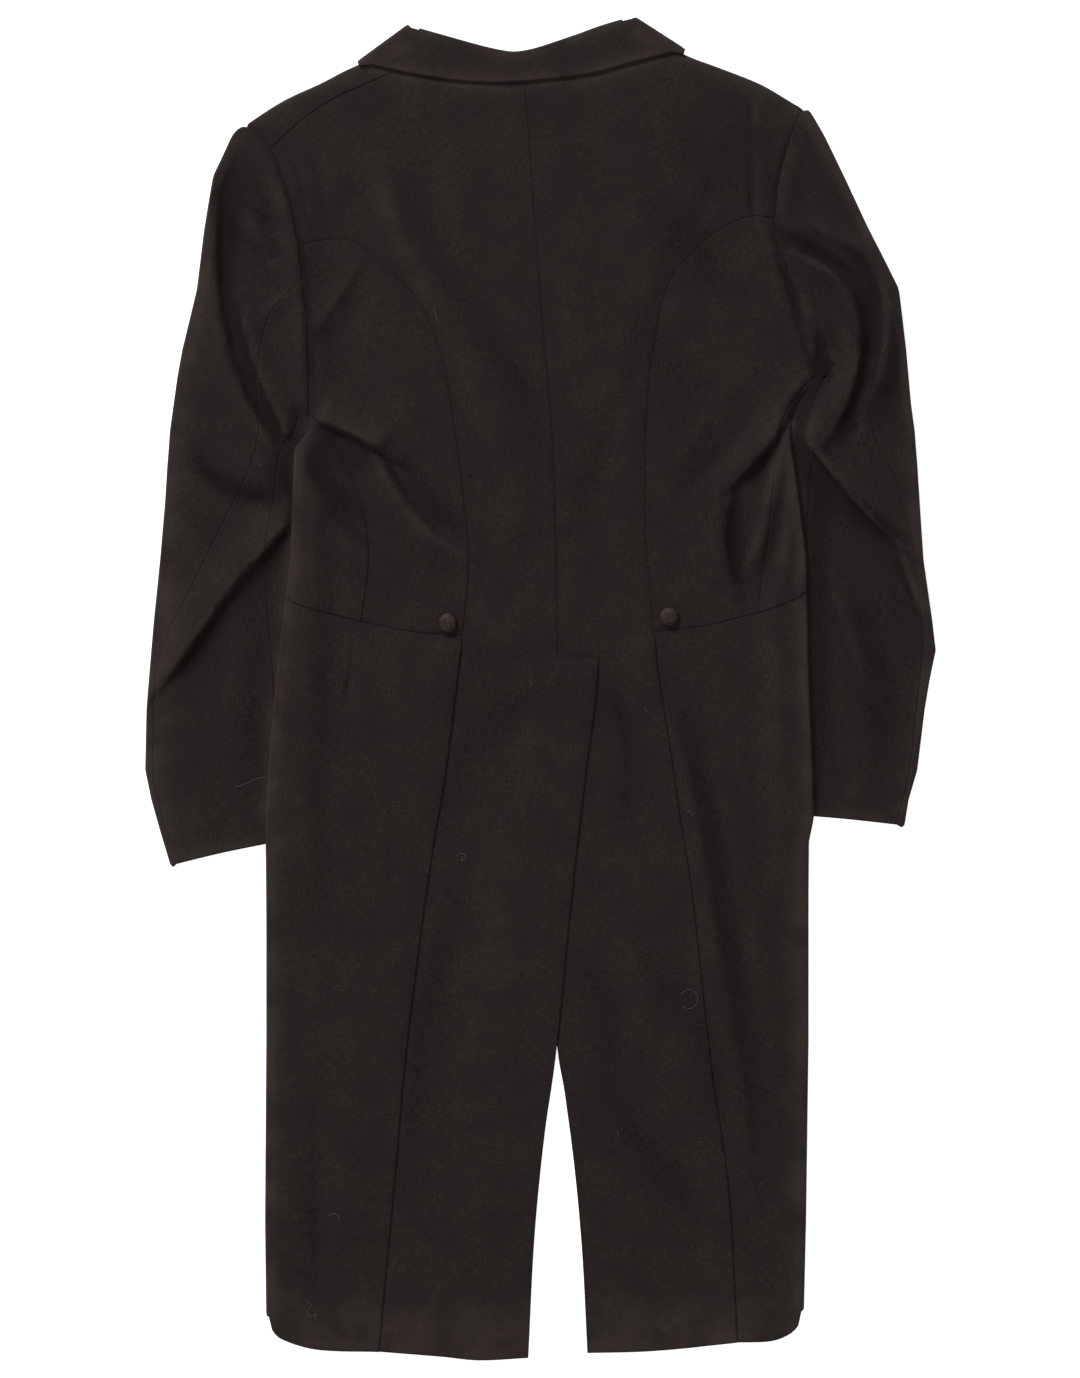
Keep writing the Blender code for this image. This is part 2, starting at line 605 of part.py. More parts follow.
def sheet_mesh(outline, spacing, rows=(), guides=()):
    """Fills a flat outline with triangles: along the rows, near the guides, then on a grid."""
    edges = []
    points = list(outline)
    for row in rows:
        first = len(points)
        points.extend(row)
        edges.extend((first + i, first + i + 1) for i in range(len(row) - 1))
    kept = np.array(points)
    fine = np.vstack([
        np.linspace(a, b, 4)[:-1] for a, b in zip(outline, np.roll(outline, -1, axis=0))
    ] + [kept])
    for guide in guides:
        extra = clear_of(within(np.array(guide), outline), fine, spacing * 0.42)
        kept = np.vstack([kept, extra])
        fine = np.vstack([fine, extra])
    low, high = outline.min(axis=0), outline.max(axis=0)
    grid = []
    for number, up in enumerate(np.arange(low[1], high[1], spacing * 0.87)):
        shift = spacing / 2 * (number % 2)
        for across in np.arange(low[0] + shift, high[0], spacing):
            grid.append((across, up))
    kept = np.vstack([kept, clear_of(within(np.array(grid), outline), fine, spacing * 0.55)])
    flat = [Vector(point) for point in kept]
    found = delaunay_2d_cdt(flat, edges, [list(range(len(outline)))], 1, 1e-4)
    return np.array([tuple(point) for point in found[0]]), found[2]


def finish(obj, look):
    colour, roughness = look
    material = bpy.data.materials.new(obj.name)
    material.use_nodes = True
    shader = material.node_tree.nodes["Principled BSDF"]
    shader.inputs["Base Color"].default_value = (*colour, 1.0)
    shader.inputs["Roughness"].default_value = roughness
    obj.data.materials.append(material)


def cloth_panel(name, outline, layer, turns=(), rows=(), guides=(), spacing=GRID_TOP):
    """One cut piece of cloth: its flat outline laid out and given its thickness."""
    flat, faces = sheet_mesh(inset(outline, SEAM_INSET), spacing, rows, guides)
    mesh = bpy.data.meshes.new(name)
    mesh.from_pydata((laid(flat, layer, turns) * MM).tolist(), [], [list(face) for face in faces])
    obj = bpy.data.objects.new(name, mesh)
    coat.objects.link(obj)
    for polygon in mesh.polygons:
        polygon.use_smooth = True
    wall = obj.modifiers.new("cloth", "SOLIDIFY")
    wall.thickness = CLOTH * MM
    wall.offset = 0.0
    finish(obj, CLOTH_FINISH)


def tuck_rows(turn_line, way, low, high, distances=LIFT_ROWS):
    """Lines of points beside a sleeve's hidden edge, where the layers there begin to rise."""
    ups = np.linspace(low, high, round((high - low) / SEAM_STEP))
    return [np.column_stack([turn_line(ups) + way * distance, ups]) for distance in distances]


def fold_guides(folds, unfold=None):
    """Points along the crest and both feet of each fold, for the panels that it crosses."""
    guides = []
    for start, middle, end, _, left_width, right_width in folds:
        line = curve((start, middle, end), SEAM_STEP)
        way = np.gradient(line, axis=0)
        way /= np.linalg.norm(way, axis=1)[:, None]
        left = np.column_stack([-way[:, 1], way[:, 0]])
        for offset in (0.0, left_width, -right_width):
            points = line + left * offset
            guides.append(unfold(points) if unfold else points)
    return guides


# The pieces.

def tucked(pleat, way):
    """The hidden edge of the cloth that is tucked under a pleat edge."""
    points = curve(pleat)
    depth = PLEAT_LAP * ramp((pleat[0][1] - PLEAT_START - points[:, 1]) / PLEAT_RUN)
    return points + np.column_stack([way * depth, np.zeros(len(points))])


def backs():
    """Each back is cut in one with the middle of its tail. The left tail laps over the right."""
    outline = chain(
        curve(NECK_SEAM_LEFT), curve(CENTRE_BACK), curve(VENT_STEP), curve(VENT_OUTER),
        curve(HEM_LEFT_BACK)[::-1], tucked(PLEAT_LEFT, -1)[::-1], curve(SIDE_BACK_LEFT)[::-1],
        curve(ARMHOLE_LEFT_BACK)[::-1], curve(SHOULDER_SEAM_LEFT)[::-1],
    )
    lap = [RIGHT_TAIL_EDGE - (4.0, 0.0)]
    cloth_panel("back_left", outline, left_back_layer, rows=lap, guides=fold_guides(BODY_FOLDS))

    shoulder = TopTurn(SHOULDER_RIGHT, under_layer)
    neck = curve(NECK_SEAM_RIGHT)
    armhole = curve(ARMHOLE_RIGHT_BACK)
    outline = chain(
        neck, shoulder.foot(neck[-1:]), shoulder.unfold(curve(SHOULDER_SEAM_RIGHT)),
        shoulder.cut(armhole), curve(SIDE_BACK_RIGHT), curve(PLEAT_RIGHT),
        curve(HEM_RIGHT_BACK)[::-1], curve(VENT_INNER)[::-1], curve(CENTRE_BACK)[::-1],
    )
    cloth_panel(
        "back_right", outline, right_back_layer, [shoulder],
        shoulder.rows(82.0, 223.0) + [RIGHT_PLEAT_LINE - (PLEAT_LAP + 2.0, 0.0)],
        fold_guides(BODY_FOLDS),
    )


def sides():
    """The panel between the curved back seam and the side seam, from the armhole to the waist."""
    outline = chain(
        curve(ARMHOLE_LEFT_HIND), curve(ARMHOLE_LEFT_LOW), curve(SIDE_SEAM_LEFT),
        curve(WAIST_LEFT_BACK), curve(SIDE_BACK_LEFT)[::-1],
    )
    cloth_panel("side_left", outline, back_layer, guides=fold_guides(BODY_FOLDS))
    outline = chain(
        curve(ARMHOLE_RIGHT_HIND), curve(ARMHOLE_RIGHT_LOW), curve(SIDE_SEAM_RIGHT),
        curve(WAIST_RIGHT_BACK)[::-1], curve(SIDE_BACK_RIGHT)[::-1],
    )
    cloth_panel("side_right", outline, back_layer, guides=fold_guides(BODY_FOLDS))


def fronts():
    """Each front comes round the side of the coat and ends below in a lapel turned back."""
    side = SideTurn(BODY_LEFT, -1, back_layer, ARMHOLE_LEFT_UNDER[-1][1] + SEAM_INSET)
    shoulder = TopTurn(SHOULDER_LEFT, back_layer)
    roll = StraightTurn(*ROLL_LEFT, (-150, 300), surface_layer, OVERLAP_STEP / 2, after=1.5)
    neck = curve(FRONT_NECK_LEFT)
    outline = chain(
        side.cut(shoulder.cut(curve(ARMHOLE_LEFT_UNDER))),
        side.unfold(side.cut(curve(SIDE_SEAM_LEFT))),
        side.unfold(side.cut(curve(WAIST_LEFT_FRONT)[::-1])),
        side.cut(curve(WAIST_UNDER_LEFT)), curve(FRONT_HEM_LEFT), curve(FRONT_EDGE_LEFT),
        roll.unfold(curve(LAPEL_LEFT)), shoulder.cut(neck),
        shoulder.unfold(curve(SHOULDER_SEAM_LEFT)),
        shoulder.unfold(shoulder.cut(curve(ARMHOLE_LEFT_FRONT)[::-1])),
    )
    rows = side.rows(62.0, 226.0) + shoulder.rows(-245.0, -113.0) + roll.rows(-6.0, 336.0)
    rows += tuck_rows(SLEEVE_LEFT_IN, 1, 44.0, 214.0)
    rows += [side.unfold(row) for row in tuck_rows(SLEEVE_LEFT_IN, 1, 30.0, 205.0)]
    cloth_panel(
        "front_left", outline, under_layer, [side, shoulder, roll], rows,
        fold_guides(BODY_FOLDS[:4], side.unfold), GRID_UNDER,
    )

    side = SideTurn(BODY_RIGHT, 1, back_layer, ARMHOLE_RIGHT_UNDER[-1][1] + SEAM_INSET)
    roll = StraightTurn(*ROLL_RIGHT, (150, 300), surface_layer, OVERLAP_STEP / 2, after=1.5)
    outline = chain(
        side.cut(curve(ARMHOLE_RIGHT_UNDER)),
        side.unfold(side.cut(curve(SIDE_SEAM_RIGHT))),
        side.unfold(side.cut(curve(WAIST_RIGHT_FRONT))),
        side.cut(curve(WAIST_UNDER_RIGHT)), curve(FRONT_HEM_RIGHT), curve(FRONT_EDGE_RIGHT),
        roll.unfold(curve(LAPEL_RIGHT)), curve(FRONT_NECK_RIGHT), curve(SHOULDER_SEAM_RIGHT),
    )
    rows = side.rows(62.0, 258.0) + roll.rows(-6.0, 338.0)
    rows += tuck_rows(SLEEVE_RIGHT_IN, -1, 44.0, 220.0)
    rows += [side.unfold(row) for row in tuck_rows(SLEEVE_RIGHT_IN, -1, 30.0, 212.0)]
    cloth_panel(
        "front_right", outline, under_layer, [side, roll], rows,
        fold_guides(BODY_FOLDS[4:7], side.unfold), GRID_UNDER,
    )


def skirts():
    """The side of each tail, from its pleat edge round the coat's edge to a hidden front edge."""
    side = SideTurn(BODY_LEFT, -1, under_layer)
    outline = chain(
        side.cut(chain(curve(WAIST_LEFT_FRONT), curve(WAIST_LEFT_BACK))), curve(PLEAT_LEFT),
        side.cut(curve(HEM_LEFT_SIDE, HEM_STEP)[::-1]), side.unfold(side.cut(curve(SKIRT_HEM_LEFT))),
        side.unfold(curve(SKIRT_FRONT_LEFT)[::-1]),
        side.unfold(side.cut(curve(WAIST_UNDER_LEFT)[::-1])),
    )
    tuck = tuck_rows(SLEEVE_LEFT_IN, 1, -152.0, 90.0)
    rows = side.rows(-502.0, 80.0) + tuck + [side.unfold(row) for row in tuck]
    rows.append(LEFT_PLEAT_LINE - (PLEAT_LAP + 2.0, 0.0))
    cloth_panel(
        "skirt_left", outline, left_skirt_layer, [side], rows,
        fold_guides(BODY_FOLDS),
    )
    side = SideTurn(BODY_RIGHT, 1, under_layer)
    outline = chain(
        side.cut(chain(curve(WAIST_RIGHT_FRONT)[::-1], curve(WAIST_RIGHT_BACK)[::-1])),
        tucked(PLEAT_RIGHT, -1), side.cut(curve(HEM_RIGHT_SIDE, HEM_STEP)),
        side.unfold(side.cut(curve(SKIRT_HEM_RIGHT))),
        side.unfold(curve(SKIRT_FRONT_RIGHT)[::-1]),
        side.unfold(side.cut(curve(WAIST_UNDER_RIGHT)[::-1])),
    )
    tuck = tuck_rows(SLEEVE_RIGHT_IN, -1, -133.0, 90.0)
    rows = side.rows(-498.0, 84.0) + tuck + [side.unfold(row) for row in tuck]
    cloth_panel(
        "skirt_right", outline, back_layer, [side], rows,
        fold_guides(BODY_FOLDS),
    )


def sleeve(name, outer_line, inner_line, out, upper_armhole, low_armhole, under_armhole,
           hind_seam, inseam, cuff):
    """A sleeve of two pieces. The top piece lies below and comes round both of its edges."""
    cuff_hind, cuff_middle, cuff_inner = cuff
    outer = SideTurn(outer_line, out, sleeve_layer)
    inner = SideTurn(inner_line, -out, sleeve_layer, under_armhole[-1][1] + SEAM_INSET)
    strip = inner.cut(curve(inseam))
    strip[0] = inner.foot(under_armhole[-1:])[0]
    outline = chain(
        outer.cut(inner.cut(under_armhole)), inner.unfold(strip),
        inner.unfold(inner.cut(curve(cuff_inner))),
        inner.cut(curve(cuff_inner))[::-1], curve(cuff_middle)[::-1],
        outer.cut(curve(cuff_hind)[::-1]),
        outer.unfold(outer.cut(curve(cuff_hind))), outer.unfold(curve(hind_seam)[::-1]),
        outer.unfold(outer.cut(upper_armhole[::-1])),
    )
    low, high = cuff_hind[0][1] - 4.0, upper_armhole[0][1] + 6.0
    rows = outer.rows(low, high) + inner.rows(low, under_armhole[-1][1] + 4.0)
    cloth_panel(
        "sleeve_top_" + name, outline, surface_layer, [outer, inner], rows,
        fold_guides(SLEEVE_FOLDS, outer.unfold), GRID_UNDER,
    )
    outline = chain(
        curve(low_armhole), curve(inseam), curve(cuff_middle)[::-1], curve(hind_seam)[::-1],
    )
    rows = tuck_rows(inner_line, out, low, low_armhole[-1][1] - 10.0, (TUCK,))
    cloth_panel(
        "sleeve_under_" + name, outline, sleeve_layer, rows=rows, guides=fold_guides(SLEEVE_FOLDS),
    )


def sleeves():
    sleeve(
        "left", SLEEVE_LEFT_OUT, SLEEVE_LEFT_IN, -1,
        chain(curve(ARMHOLE_LEFT_FRONT), curve(ARMHOLE_LEFT_BACK), curve(ARMHOLE_LEFT_HIND)),
        ARMHOLE_LEFT_LOW, curve(ARMHOLE_LEFT_UNDER), HIND_SEAM_LEFT, INSEAM_LEFT,
        (CUFF_LEFT_HIND, CUFF_LEFT_MIDDLE, CUFF_LEFT_INNER),
    )
    sleeve(
        "right", SLEEVE_RIGHT_OUT, SLEEVE_RIGHT_IN, 1,
        chain(curve(ARMHOLE_RIGHT_BACK), curve(ARMHOLE_RIGHT_HIND)),
        ARMHOLE_RIGHT_LOW, chain(curve(ARMHOLE_RIGHT_TIP), curve(ARMHOLE_RIGHT_UNDER)),
        HIND_SEAM_RIGHT, INSEAM_RIGHT,
        (CUFF_RIGHT_HIND, CUFF_RIGHT_MIDDLE, CUFF_RIGHT_INNER),
    )


def collar():
    """Fall, stand and both ends in one strip: down at the back, under the fall, round the neck."""
    roll_radius = COLLAR_STEP / 2
    end_radius = (collar_layer(np.zeros((1, 2)))[0] - HALF_CLOTH) / 2
    end_inset = end_radius + HALF_CLOTH
    roll = TopTurn(COLLAR_ROLL, stand_layer, roll_radius)
    roll.low, roll.high = STAND_SEAM[0][0] - 2.0, STAND_SEAM[-1][0] + 2.0
    left, right = (
        StraightTurn(
            COLLAR_EDGE[end], COLLAR_ROLL[end], (0, 500), surface_layer, end_radius, end_inset,
            COLLAR_END_REACH, 1.0,
        )
        for end in (0, -1)
    )
    stand = roll.unfold(curve(STAND_SEAM))
    stand_ends = roll.foot(stand[[0, -1]])
    fall = right.cut(left.cut(curve(COLLAR_EDGE)))
    left_end, right_end = np.array(COLLAR_END_LEFT, float), np.array(COLLAR_END_RIGHT, float)
    outline = chain(
        fall,
        right.unfold(np.vstack([right.foot(fall[-1:]), right_end[1:3], right.foot(right_end[3:])])),
        right.foot(roll.foot(right_end[3:] - (3.0, 0.0))),
        stand_ends[1:], stand[::-1], stand_ends[:1],
        left.foot(roll.foot(left_end[3:] + (3.0, 0.0))),
        left.unfold(np.vstack([left.foot(left_end[3:]), left_end[2:0:-1], left.foot(fall[:1])])),
    )
    rows = roll.rows(STAND_SEAM[0][0] - 1.0, STAND_SEAM[-1][0] + 1.0)
    rows += left.rows(-3.0, left.high + 3.0) + right.rows(-3.0, right.high + 3.0)
    cloth_panel("collar", outline, collar_layer, [roll, left, right], rows)


def buttons():
    """A covered dome at each end of the waist seam, where the pleat edges begin."""
    for name, (across, up) in BUTTON_CENTRES.items():
        around = np.linspace(0.0, 2 * math.pi, BUTTON_SIDES, endpoint=False)
        rim = BUTTON_RADIUS * np.column_stack([np.cos(around), np.sin(around)]) + (across, up)
        layer = right_back_layer if name == "right" else left_skirt_layer
        base = layer(rim).max() + HALF_CLOTH + BUTTON_GAP
        profile = [(0.0, BUTTON_HEIGHT)]
        for number in range(1, BUTTON_ROWS + 1):
            angle = math.pi / 2 * (1 - number / BUTTON_ROWS)
            rise = (BUTTON_HEIGHT - BUTTON_RIM) * math.sin(angle)
            profile.append((BUTTON_RADIUS * math.cos(angle), BUTTON_RIM + rise))
        profile += [(BUTTON_RADIUS - BUTTON_UNDERCUT, 0.0), (0.0, 0.0)]
        mesh = bpy.data.meshes.new("button_" + name)
        points = [(radius * MM, 0.0, height * MM) for radius, height in profile]
        mesh.from_pydata(points, [(i, i + 1) for i in range(len(points) - 1)], [])
        obj = bpy.data.objects.new("button_" + name, mesh)
        coat.objects.link(obj)
        obj.location = (across * MM, up * MM, base * MM)
        turned = obj.modifiers.new("turned", "SCREW")
        turned.steps = turned.render_steps = BUTTON_SIDES
        turned.use_merge_vertices = True
        turned.merge_threshold = 0.00001
        turned.use_normal_calculate = True
        finish(obj, BUTTON_FINISH)


def clear_scene():
    for obj in list(bpy.data.objects):
        bpy.data.objects.remove(obj, do_unlink=True)


clear_scene()
coat = bpy.data.collections.new("white_tie_tailcoat")
bpy.context.scene.collection.children.link(coat)
backs()
sides()
fronts()
skirts()
sleeves()
collar()
buttons()
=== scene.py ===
"""White tie tailcoat laid face down on a pale floor, its back up.

Each panel of cloth is drawn flat between its seam lines, laid out over the folds and round the coat's
turned edges, and given its thickness. Lengths in the tables are in millimetres. X runs to the right of
the coat as it is seen from above, Y towards the collar and Z up.
"""

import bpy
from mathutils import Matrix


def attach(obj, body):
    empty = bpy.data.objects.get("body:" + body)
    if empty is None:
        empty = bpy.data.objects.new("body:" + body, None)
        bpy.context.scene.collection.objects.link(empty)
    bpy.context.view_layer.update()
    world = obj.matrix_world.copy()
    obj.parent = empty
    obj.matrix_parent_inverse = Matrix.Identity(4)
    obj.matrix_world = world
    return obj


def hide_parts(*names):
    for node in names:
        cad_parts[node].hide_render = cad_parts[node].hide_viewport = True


bl_info = {
    "name": "White Tie Tailcoat",
    "version": (1, 0, 0),
    "blender": (4, 5, 0),
    "location": "3D View > Sidebar > Tailcoat",
    "description": "Builds a laid out tailcoat in black wool with covered buttons",
    "category": "Add Mesh",
}

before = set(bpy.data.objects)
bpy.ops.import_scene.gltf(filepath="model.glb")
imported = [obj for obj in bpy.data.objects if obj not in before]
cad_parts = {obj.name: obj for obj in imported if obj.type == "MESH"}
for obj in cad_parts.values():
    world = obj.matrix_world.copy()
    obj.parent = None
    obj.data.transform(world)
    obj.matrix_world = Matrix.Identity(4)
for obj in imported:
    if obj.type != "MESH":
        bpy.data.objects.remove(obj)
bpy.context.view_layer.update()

import math
from functools import lru_cache

import bpy
import numpy as np
from bpy.props import FloatProperty, FloatVectorProperty, PointerProperty
from mathutils import Vector, kdtree, noise
from mathutils.geometry import delaunay_2d_cdt

MM = 0.001
CLOTH = 1.6  # wool with its canvas and lining pressed to it
HALF_CLOTH = CLOTH / 2
SEAM_INSET = 0.2  # each panel stops this short of its seam line
LAYER_STEP = 3.4  # from the middle of one layer of cloth to the middle of the next
OVERLAP_STEP = 2.1  # where one edge lies flat on another
LAP_STEP = 1.65  # where a pleat or vent edge lies on soft cloth
TURN_RADIUS = LAYER_STEP / 2
EDGE_INSET = TURN_RADIUS + HALF_CLOTH  # from the outline seen from above to the fold line
SEAM_STEP = 4.0  # distance between points along seams and edges
FOLD_MARGIN = 1.5  # no seam point lies nearer than this to a fold, but where the seam crosses it
OVER_ALL = 2000.0  # longer than anything on the coat
TURN_ROWS = 8  # facets round a turned edge
LIFT = 6.0  # the body's edges lie this much higher where a sleeve lies below them
LIFT_RUN = 24.0  # and slope down to the surface over this distance
LIFT_START = 6.0  # from this far past the sleeve's hidden edge
LIFT_FOOT_RUN = 72.0  # past the cuffs they come down over this distance
LIFT_ENDS_LEFT = (-198.0, 213.0)  # lowest and highest place of the raised edge
LIFT_ENDS_RIGHT = (-179.0, 220.0)
PRESSED_FROM = 300.0  # above this the seams near the nape are pressed flat
PRESSED_RUN = 70.0
PRESSED_REACH = 175.0  # as far out as this
PRESSED_SHARE = 0.65
TUCK_PAINTED_SHADE = 1.2  # where a sleeve goes in under the body it gets painted shade, as if this far below the cloth round it
TUCK_RUN = 9.0  # and its folds reach their height over this much more
TUCK = 8.0  # a sleeve stays flat this far out from its hidden edge
EDGE_RUN = 14.0  # folds die out over this distance at a turned edge
COVER_RUN = 38.0  # the back comes down to the surface this far past the edge of what lies below it
COVER_START = 6.0
FRONT_ENDS = (-40.0, 16.0)  # over these heights the back comes down below the fronts' hem
ARMPIT_LEFT = 222.0
ARMPIT_RIGHT = 254.0
ARMPIT_RUN = 16.0
PLEAT_LAP = 12.0  # width of cloth tucked under a pleat edge
PLEAT_START = 16.0  # the tuck begins this far below the pleat's top
PLEAT_RUN = 26.0  # and is full after this much more
LAP_RUN = 24.0  # an edge that laps over another rises over this distance
LAP_TOP = 38.0  # no lap reaches above this height
ROLL_ROOM = 22.0  # the fronts rise over the lapels within this distance
LAPEL_MARGIN = 8.0
LAPEL_TOP = 425.0
LAPEL_FOOT = 118.0
NECK_ROOM = (395.0, -182.0, 166.0)  # lowest, left and right limits of the room for the collar ends
NECK_RUN = 26.0
HEM_STEP = 4.0
PANEL_INSET = -0.12  # panels run into one another a little, so that no seam stands open
SHARP_WIDTH = 6.5  # a fold's flank narrower than this is sharp, and gets points this close:
CREASE_STEP = 1.7
SEAM_WIDTH = 1.2  # the cloth thins towards a seam over this distance
SEAM_SHARE = 0.5  # to this share of its thickness
FREE_EDGE_SHARE = 0.4
RIM_WIDTH = 1.3  # a row of points lies this far inside each panel's edge
RUBBED_AND_RIM_LIT_WIDTH = 12.0  # the nap is rubbed paler this far in from free and turned edges, and a pale rim of light is painted at the very edge
FOLD_END = 0.22  # a fold rises to its height over this share of its length
END_SHARE = 0.35  # and begins at this share of it

# Outline of the body as seen from above, a row for each section from the armpits to the hem.
# Columns: height up the coat, left edge, right edge.
BODY_SECTIONS = (
    (252, -188, 224),
    (230, -188, 209),
    (208, -188, 202),
    (194, -199, 203),
    (162, -200, 208),
    (107, -202, 215),
    (60, -208, 216),
    (7, -214, 217),
    (-62, -220, 220),
    (-104, -222, 221),
    (-124, -222, 217),
    (-285, -222, 217),
    (-431, -223, 215),
    (-515, -222, 213),
)

# Outline of the sleeves, a row for each section from the shoulder tip to the cuff.
# Columns: height, outer edge and hidden inner edge of the left sleeve, and of the right one.
SLEEVE_SECTIONS = (
    (466, -233, -180, 219, 188),
    (447, -250, -180, 230, 188),
    (414, -265, -180, 246, 188),
    (371, -272, -180, 266, 188),
    (323, -278, -180, 290, 188),
    (274, -290, -182, 296, 221),
    (252, -294, -184, 298, 221.5),
    (230, -297, -185.5, 300, 207.5),
    (208, -300, -186, 303, 200),
    (194, -301, -196, 304, 200),
    (182, -302, -196, 305, 202),
    (150, -304, -188, 307, 195),
    (104, -308, -192, 310, 194),
    (55, -313, -194, 317, 194),
    (31, -315, -195, 320, 195),
    (7, -317, -196, 315, 196),
    (-17, -319, -196, 311, 197),
    (-66, -320, -197, 305, 198),
    (-90, -315, -197, 298, 199),
    (-115, -308, -197, 294, 200),
    (-145, -299, -197, 292, 200),
)

# Edge lines and seams of the side that shows, from a few points each. Columns: across, up.
SHOULDER_LEFT = ((-112, 519), (-153, 502), (-177, 490), (-209, 475), (-246, 451))
SHOULDER_RIGHT = ((80, 530), (118, 512), (142, 503), (176, 490), (202, 475), (224, 462))
SHOULDER_SEAM_LEFT = ((-116, 500), (-145, 487), (-169, 476), (-192, 461), (-218, 437))
SHOULDER_SEAM_RIGHT = ((88, 514), (125, 498), (176, 476), (208, 453))
NECK_SEAM_LEFT = ((-116, 500), (-70, 499), (-13, 497))
NECK_SEAM_RIGHT = ((-13, 497), (24, 506), (60, 516), (86, 520))
CENTRE_BACK = ((-13, 497), (-6, 404), (2, 297), (10, 200), (13, 104), (14, 27))
ARMHOLE_LEFT_FRONT = ((-237, 454), (-218, 437))
ARMHOLE_LEFT_BACK = ((-218, 437), (-209, 414), (-202, 389), (-196, 358))
ARMHOLE_LEFT_HIND = ((-196, 358), (-193, 330))
ARMHOLE_LEFT_LOW = ((-193, 330), (-189, 293), (-188, 247), (-188, 224), (-189, 219))
ARMHOLE_RIGHT_BACK = ((212, 467.4), (207, 457), (200, 437), (193, 408), (190, 380))
ARMHOLE_RIGHT_HIND = ((190, 380), (193, 353))
ARMHOLE_RIGHT_LOW = ((193, 353), (204, 317), (212, 288), (222, 255), (224, 249.5))
ARMHOLE_LEFT_UNDER = (
    (-237, 454), (-210, 430), (-186, 396), (-172, 350), (-166, 296), (-170, 250), (-188, 222),
)
ARMHOLE_RIGHT_TIP = ((217, 464), (208, 453))
ARMHOLE_RIGHT_UNDER = (
    (208, 453), (188, 426), (172, 390), (168, 345), (178, 300), (200, 268), (222, 251.9),
)
SIDE_BACK_LEFT = (
    (-196, 358), (-179, 362), (-159, 363), (-144, 357), (-120, 335),
    (-95, 308), (-78, 262), (-69, 209), (-61, 143), (-58, 96), (-63, 43),
)
SIDE_BACK_RIGHT = (
    (190, 380), (167, 381), (140, 367), (119, 348), (103, 325),
    (94, 288), (87, 235), (85, 150), (88, 90), (92, 46),
)
SIDE_SEAM_LEFT = ((-185.5, 222), (-163, 190), (-145, 149), (-139, 107), (-145, 54))
SIDE_SEAM_RIGHT = ((221, 252), (198, 222), (191, 190), (188, 160), (183, 112), (176, 61))
WAIST_LEFT_FRONT = ((-208, 73), (-188, 65), (-145, 54))
WAIST_LEFT_BACK = ((-145, 54), (-105, 46), (-63, 43))
WAIST_RIGHT_BACK = ((92, 46), (130, 50), (176, 61))
WAIST_RIGHT_FRONT = ((176, 61), (196, 68), (217, 77))
PLEAT_LEFT = (
    (-63, 43), (-68, 3), (-77, -69), (-89, -141), (-108, -285),
    (-118, -395), (-126, -481), (-131, -537),
)
PLEAT_RIGHT = (
    (92, 46), (95, 12), (104, -44), (112, -100), (123, -171),
    (138, -307), (152, -406), (159, -529),
)
VENT_STEP = ((14, 27), (47, 25))
VENT_OUTER = (
    (47, 25), (44, -13), (38, -58), (26, -160), (13, -291), (3, -363), (-5, -445), (-10, -542),
)
VENT_INNER = (
    (-2, 14), (1, -60), (5, -171), (13, -284), (20, -330), (28, -392), (34, -460), (38, -538),
)
HEM_LEFT_BACK = ((-131, -537), (-81, -541), (-49, -544), (-10, -542))
HEM_LEFT_SIDE = ((-222, -508), (-217, -519), (-208, -527), (-180, -535), (-131, -537))
HEM_RIGHT_BACK = ((38, -538), (81, -537), (120, -534), (159, -529))
HEM_RIGHT_SIDE = ((159, -529), (186, -528), (202, -522), (210, -513), (213, -504))
HIND_SEAM_LEFT = (
    (-193, 330), (-220, 300), (-229, 250), (-228, 205), (-238, 172), (-255, 138),
    (-276, 95), (-300, 45), (-310, 15), (-313, -30), (-312, -75), (-303, -112), (-291, -141),
)
HIND_SEAM_RIGHT = (
    (193, 353), (228, 332), (252, 290), (262, 240), (272, 200), (286, 172),
    (299, 126), (307, 70), (309, 30), (304, -20), (298, -70), (288, -110),
)
INSEAM_LEFT = (
    (-195, 222), (-200, 208), (-211, 190), (-216, 150), (-223, 103), (-217, 21), (-214, -40),
    (-214, -124),
)
INSEAM_RIGHT = (
    (232, 254), (220, 230), (215, 205), (219, 180), (214, 104), (213, 31), (216, -40),
    (218, -103),
)
CUFF_LEFT_HIND = ((-302, -144), (-291, -141))
CUFF_LEFT_MIDDLE = ((-291, -141), (-258, -133), (-214, -124))
CUFF_LEFT_INNER = ((-214, -124), (-196, -120))
CUFF_RIGHT_HIND = ((297, -112), (288, -110))
CUFF_RIGHT_MIDDLE = ((288, -110), (252, -106), (218, -103))
CUFF_RIGHT_INNER = ((218, -103), (199, -101))

# Lines of the side that lies underneath.
WAIST_UNDER_LEFT = ((-208, 73), (-150, 62), (-100, 51))
WAIST_UNDER_RIGHT = ((217, 77), (155, 64), (108, 54))
FRONT_HEM_LEFT = ((-100, 51), (-40, 34), (-8, 27))
FRONT_HEM_RIGHT = ((108, 54), (44, 34), (8, 27))
FRONT_EDGE_LEFT = ((-8, 27), (-4, 90), (-6, 150))
FRONT_EDGE_RIGHT = ((8, 27), (8, 90), (10, 150))
FRONT_NECK_LEFT = ((-96, 470), (-108, 494), (-117, 518))
FRONT_NECK_RIGHT = ((70, 478), (78, 498), (88, 514))
ROLL_LEFT = ((-6, 150), (-96, 470))
ROLL_RIGHT = ((10, 150), (70, 478))
LAPEL_LEFT = ((-6, 150), (-56, 262), (-118, 398), (-146, 424), (-112, 438), (-96, 470))
LAPEL_RIGHT = ((10, 150), (50, 262), (108, 398), (136, 426), (100, 440), (70, 478))
SKIRT_FRONT_LEFT = ((-100, 51), (-128, -80), (-152, -240), (-170, -400), (-180, -511))
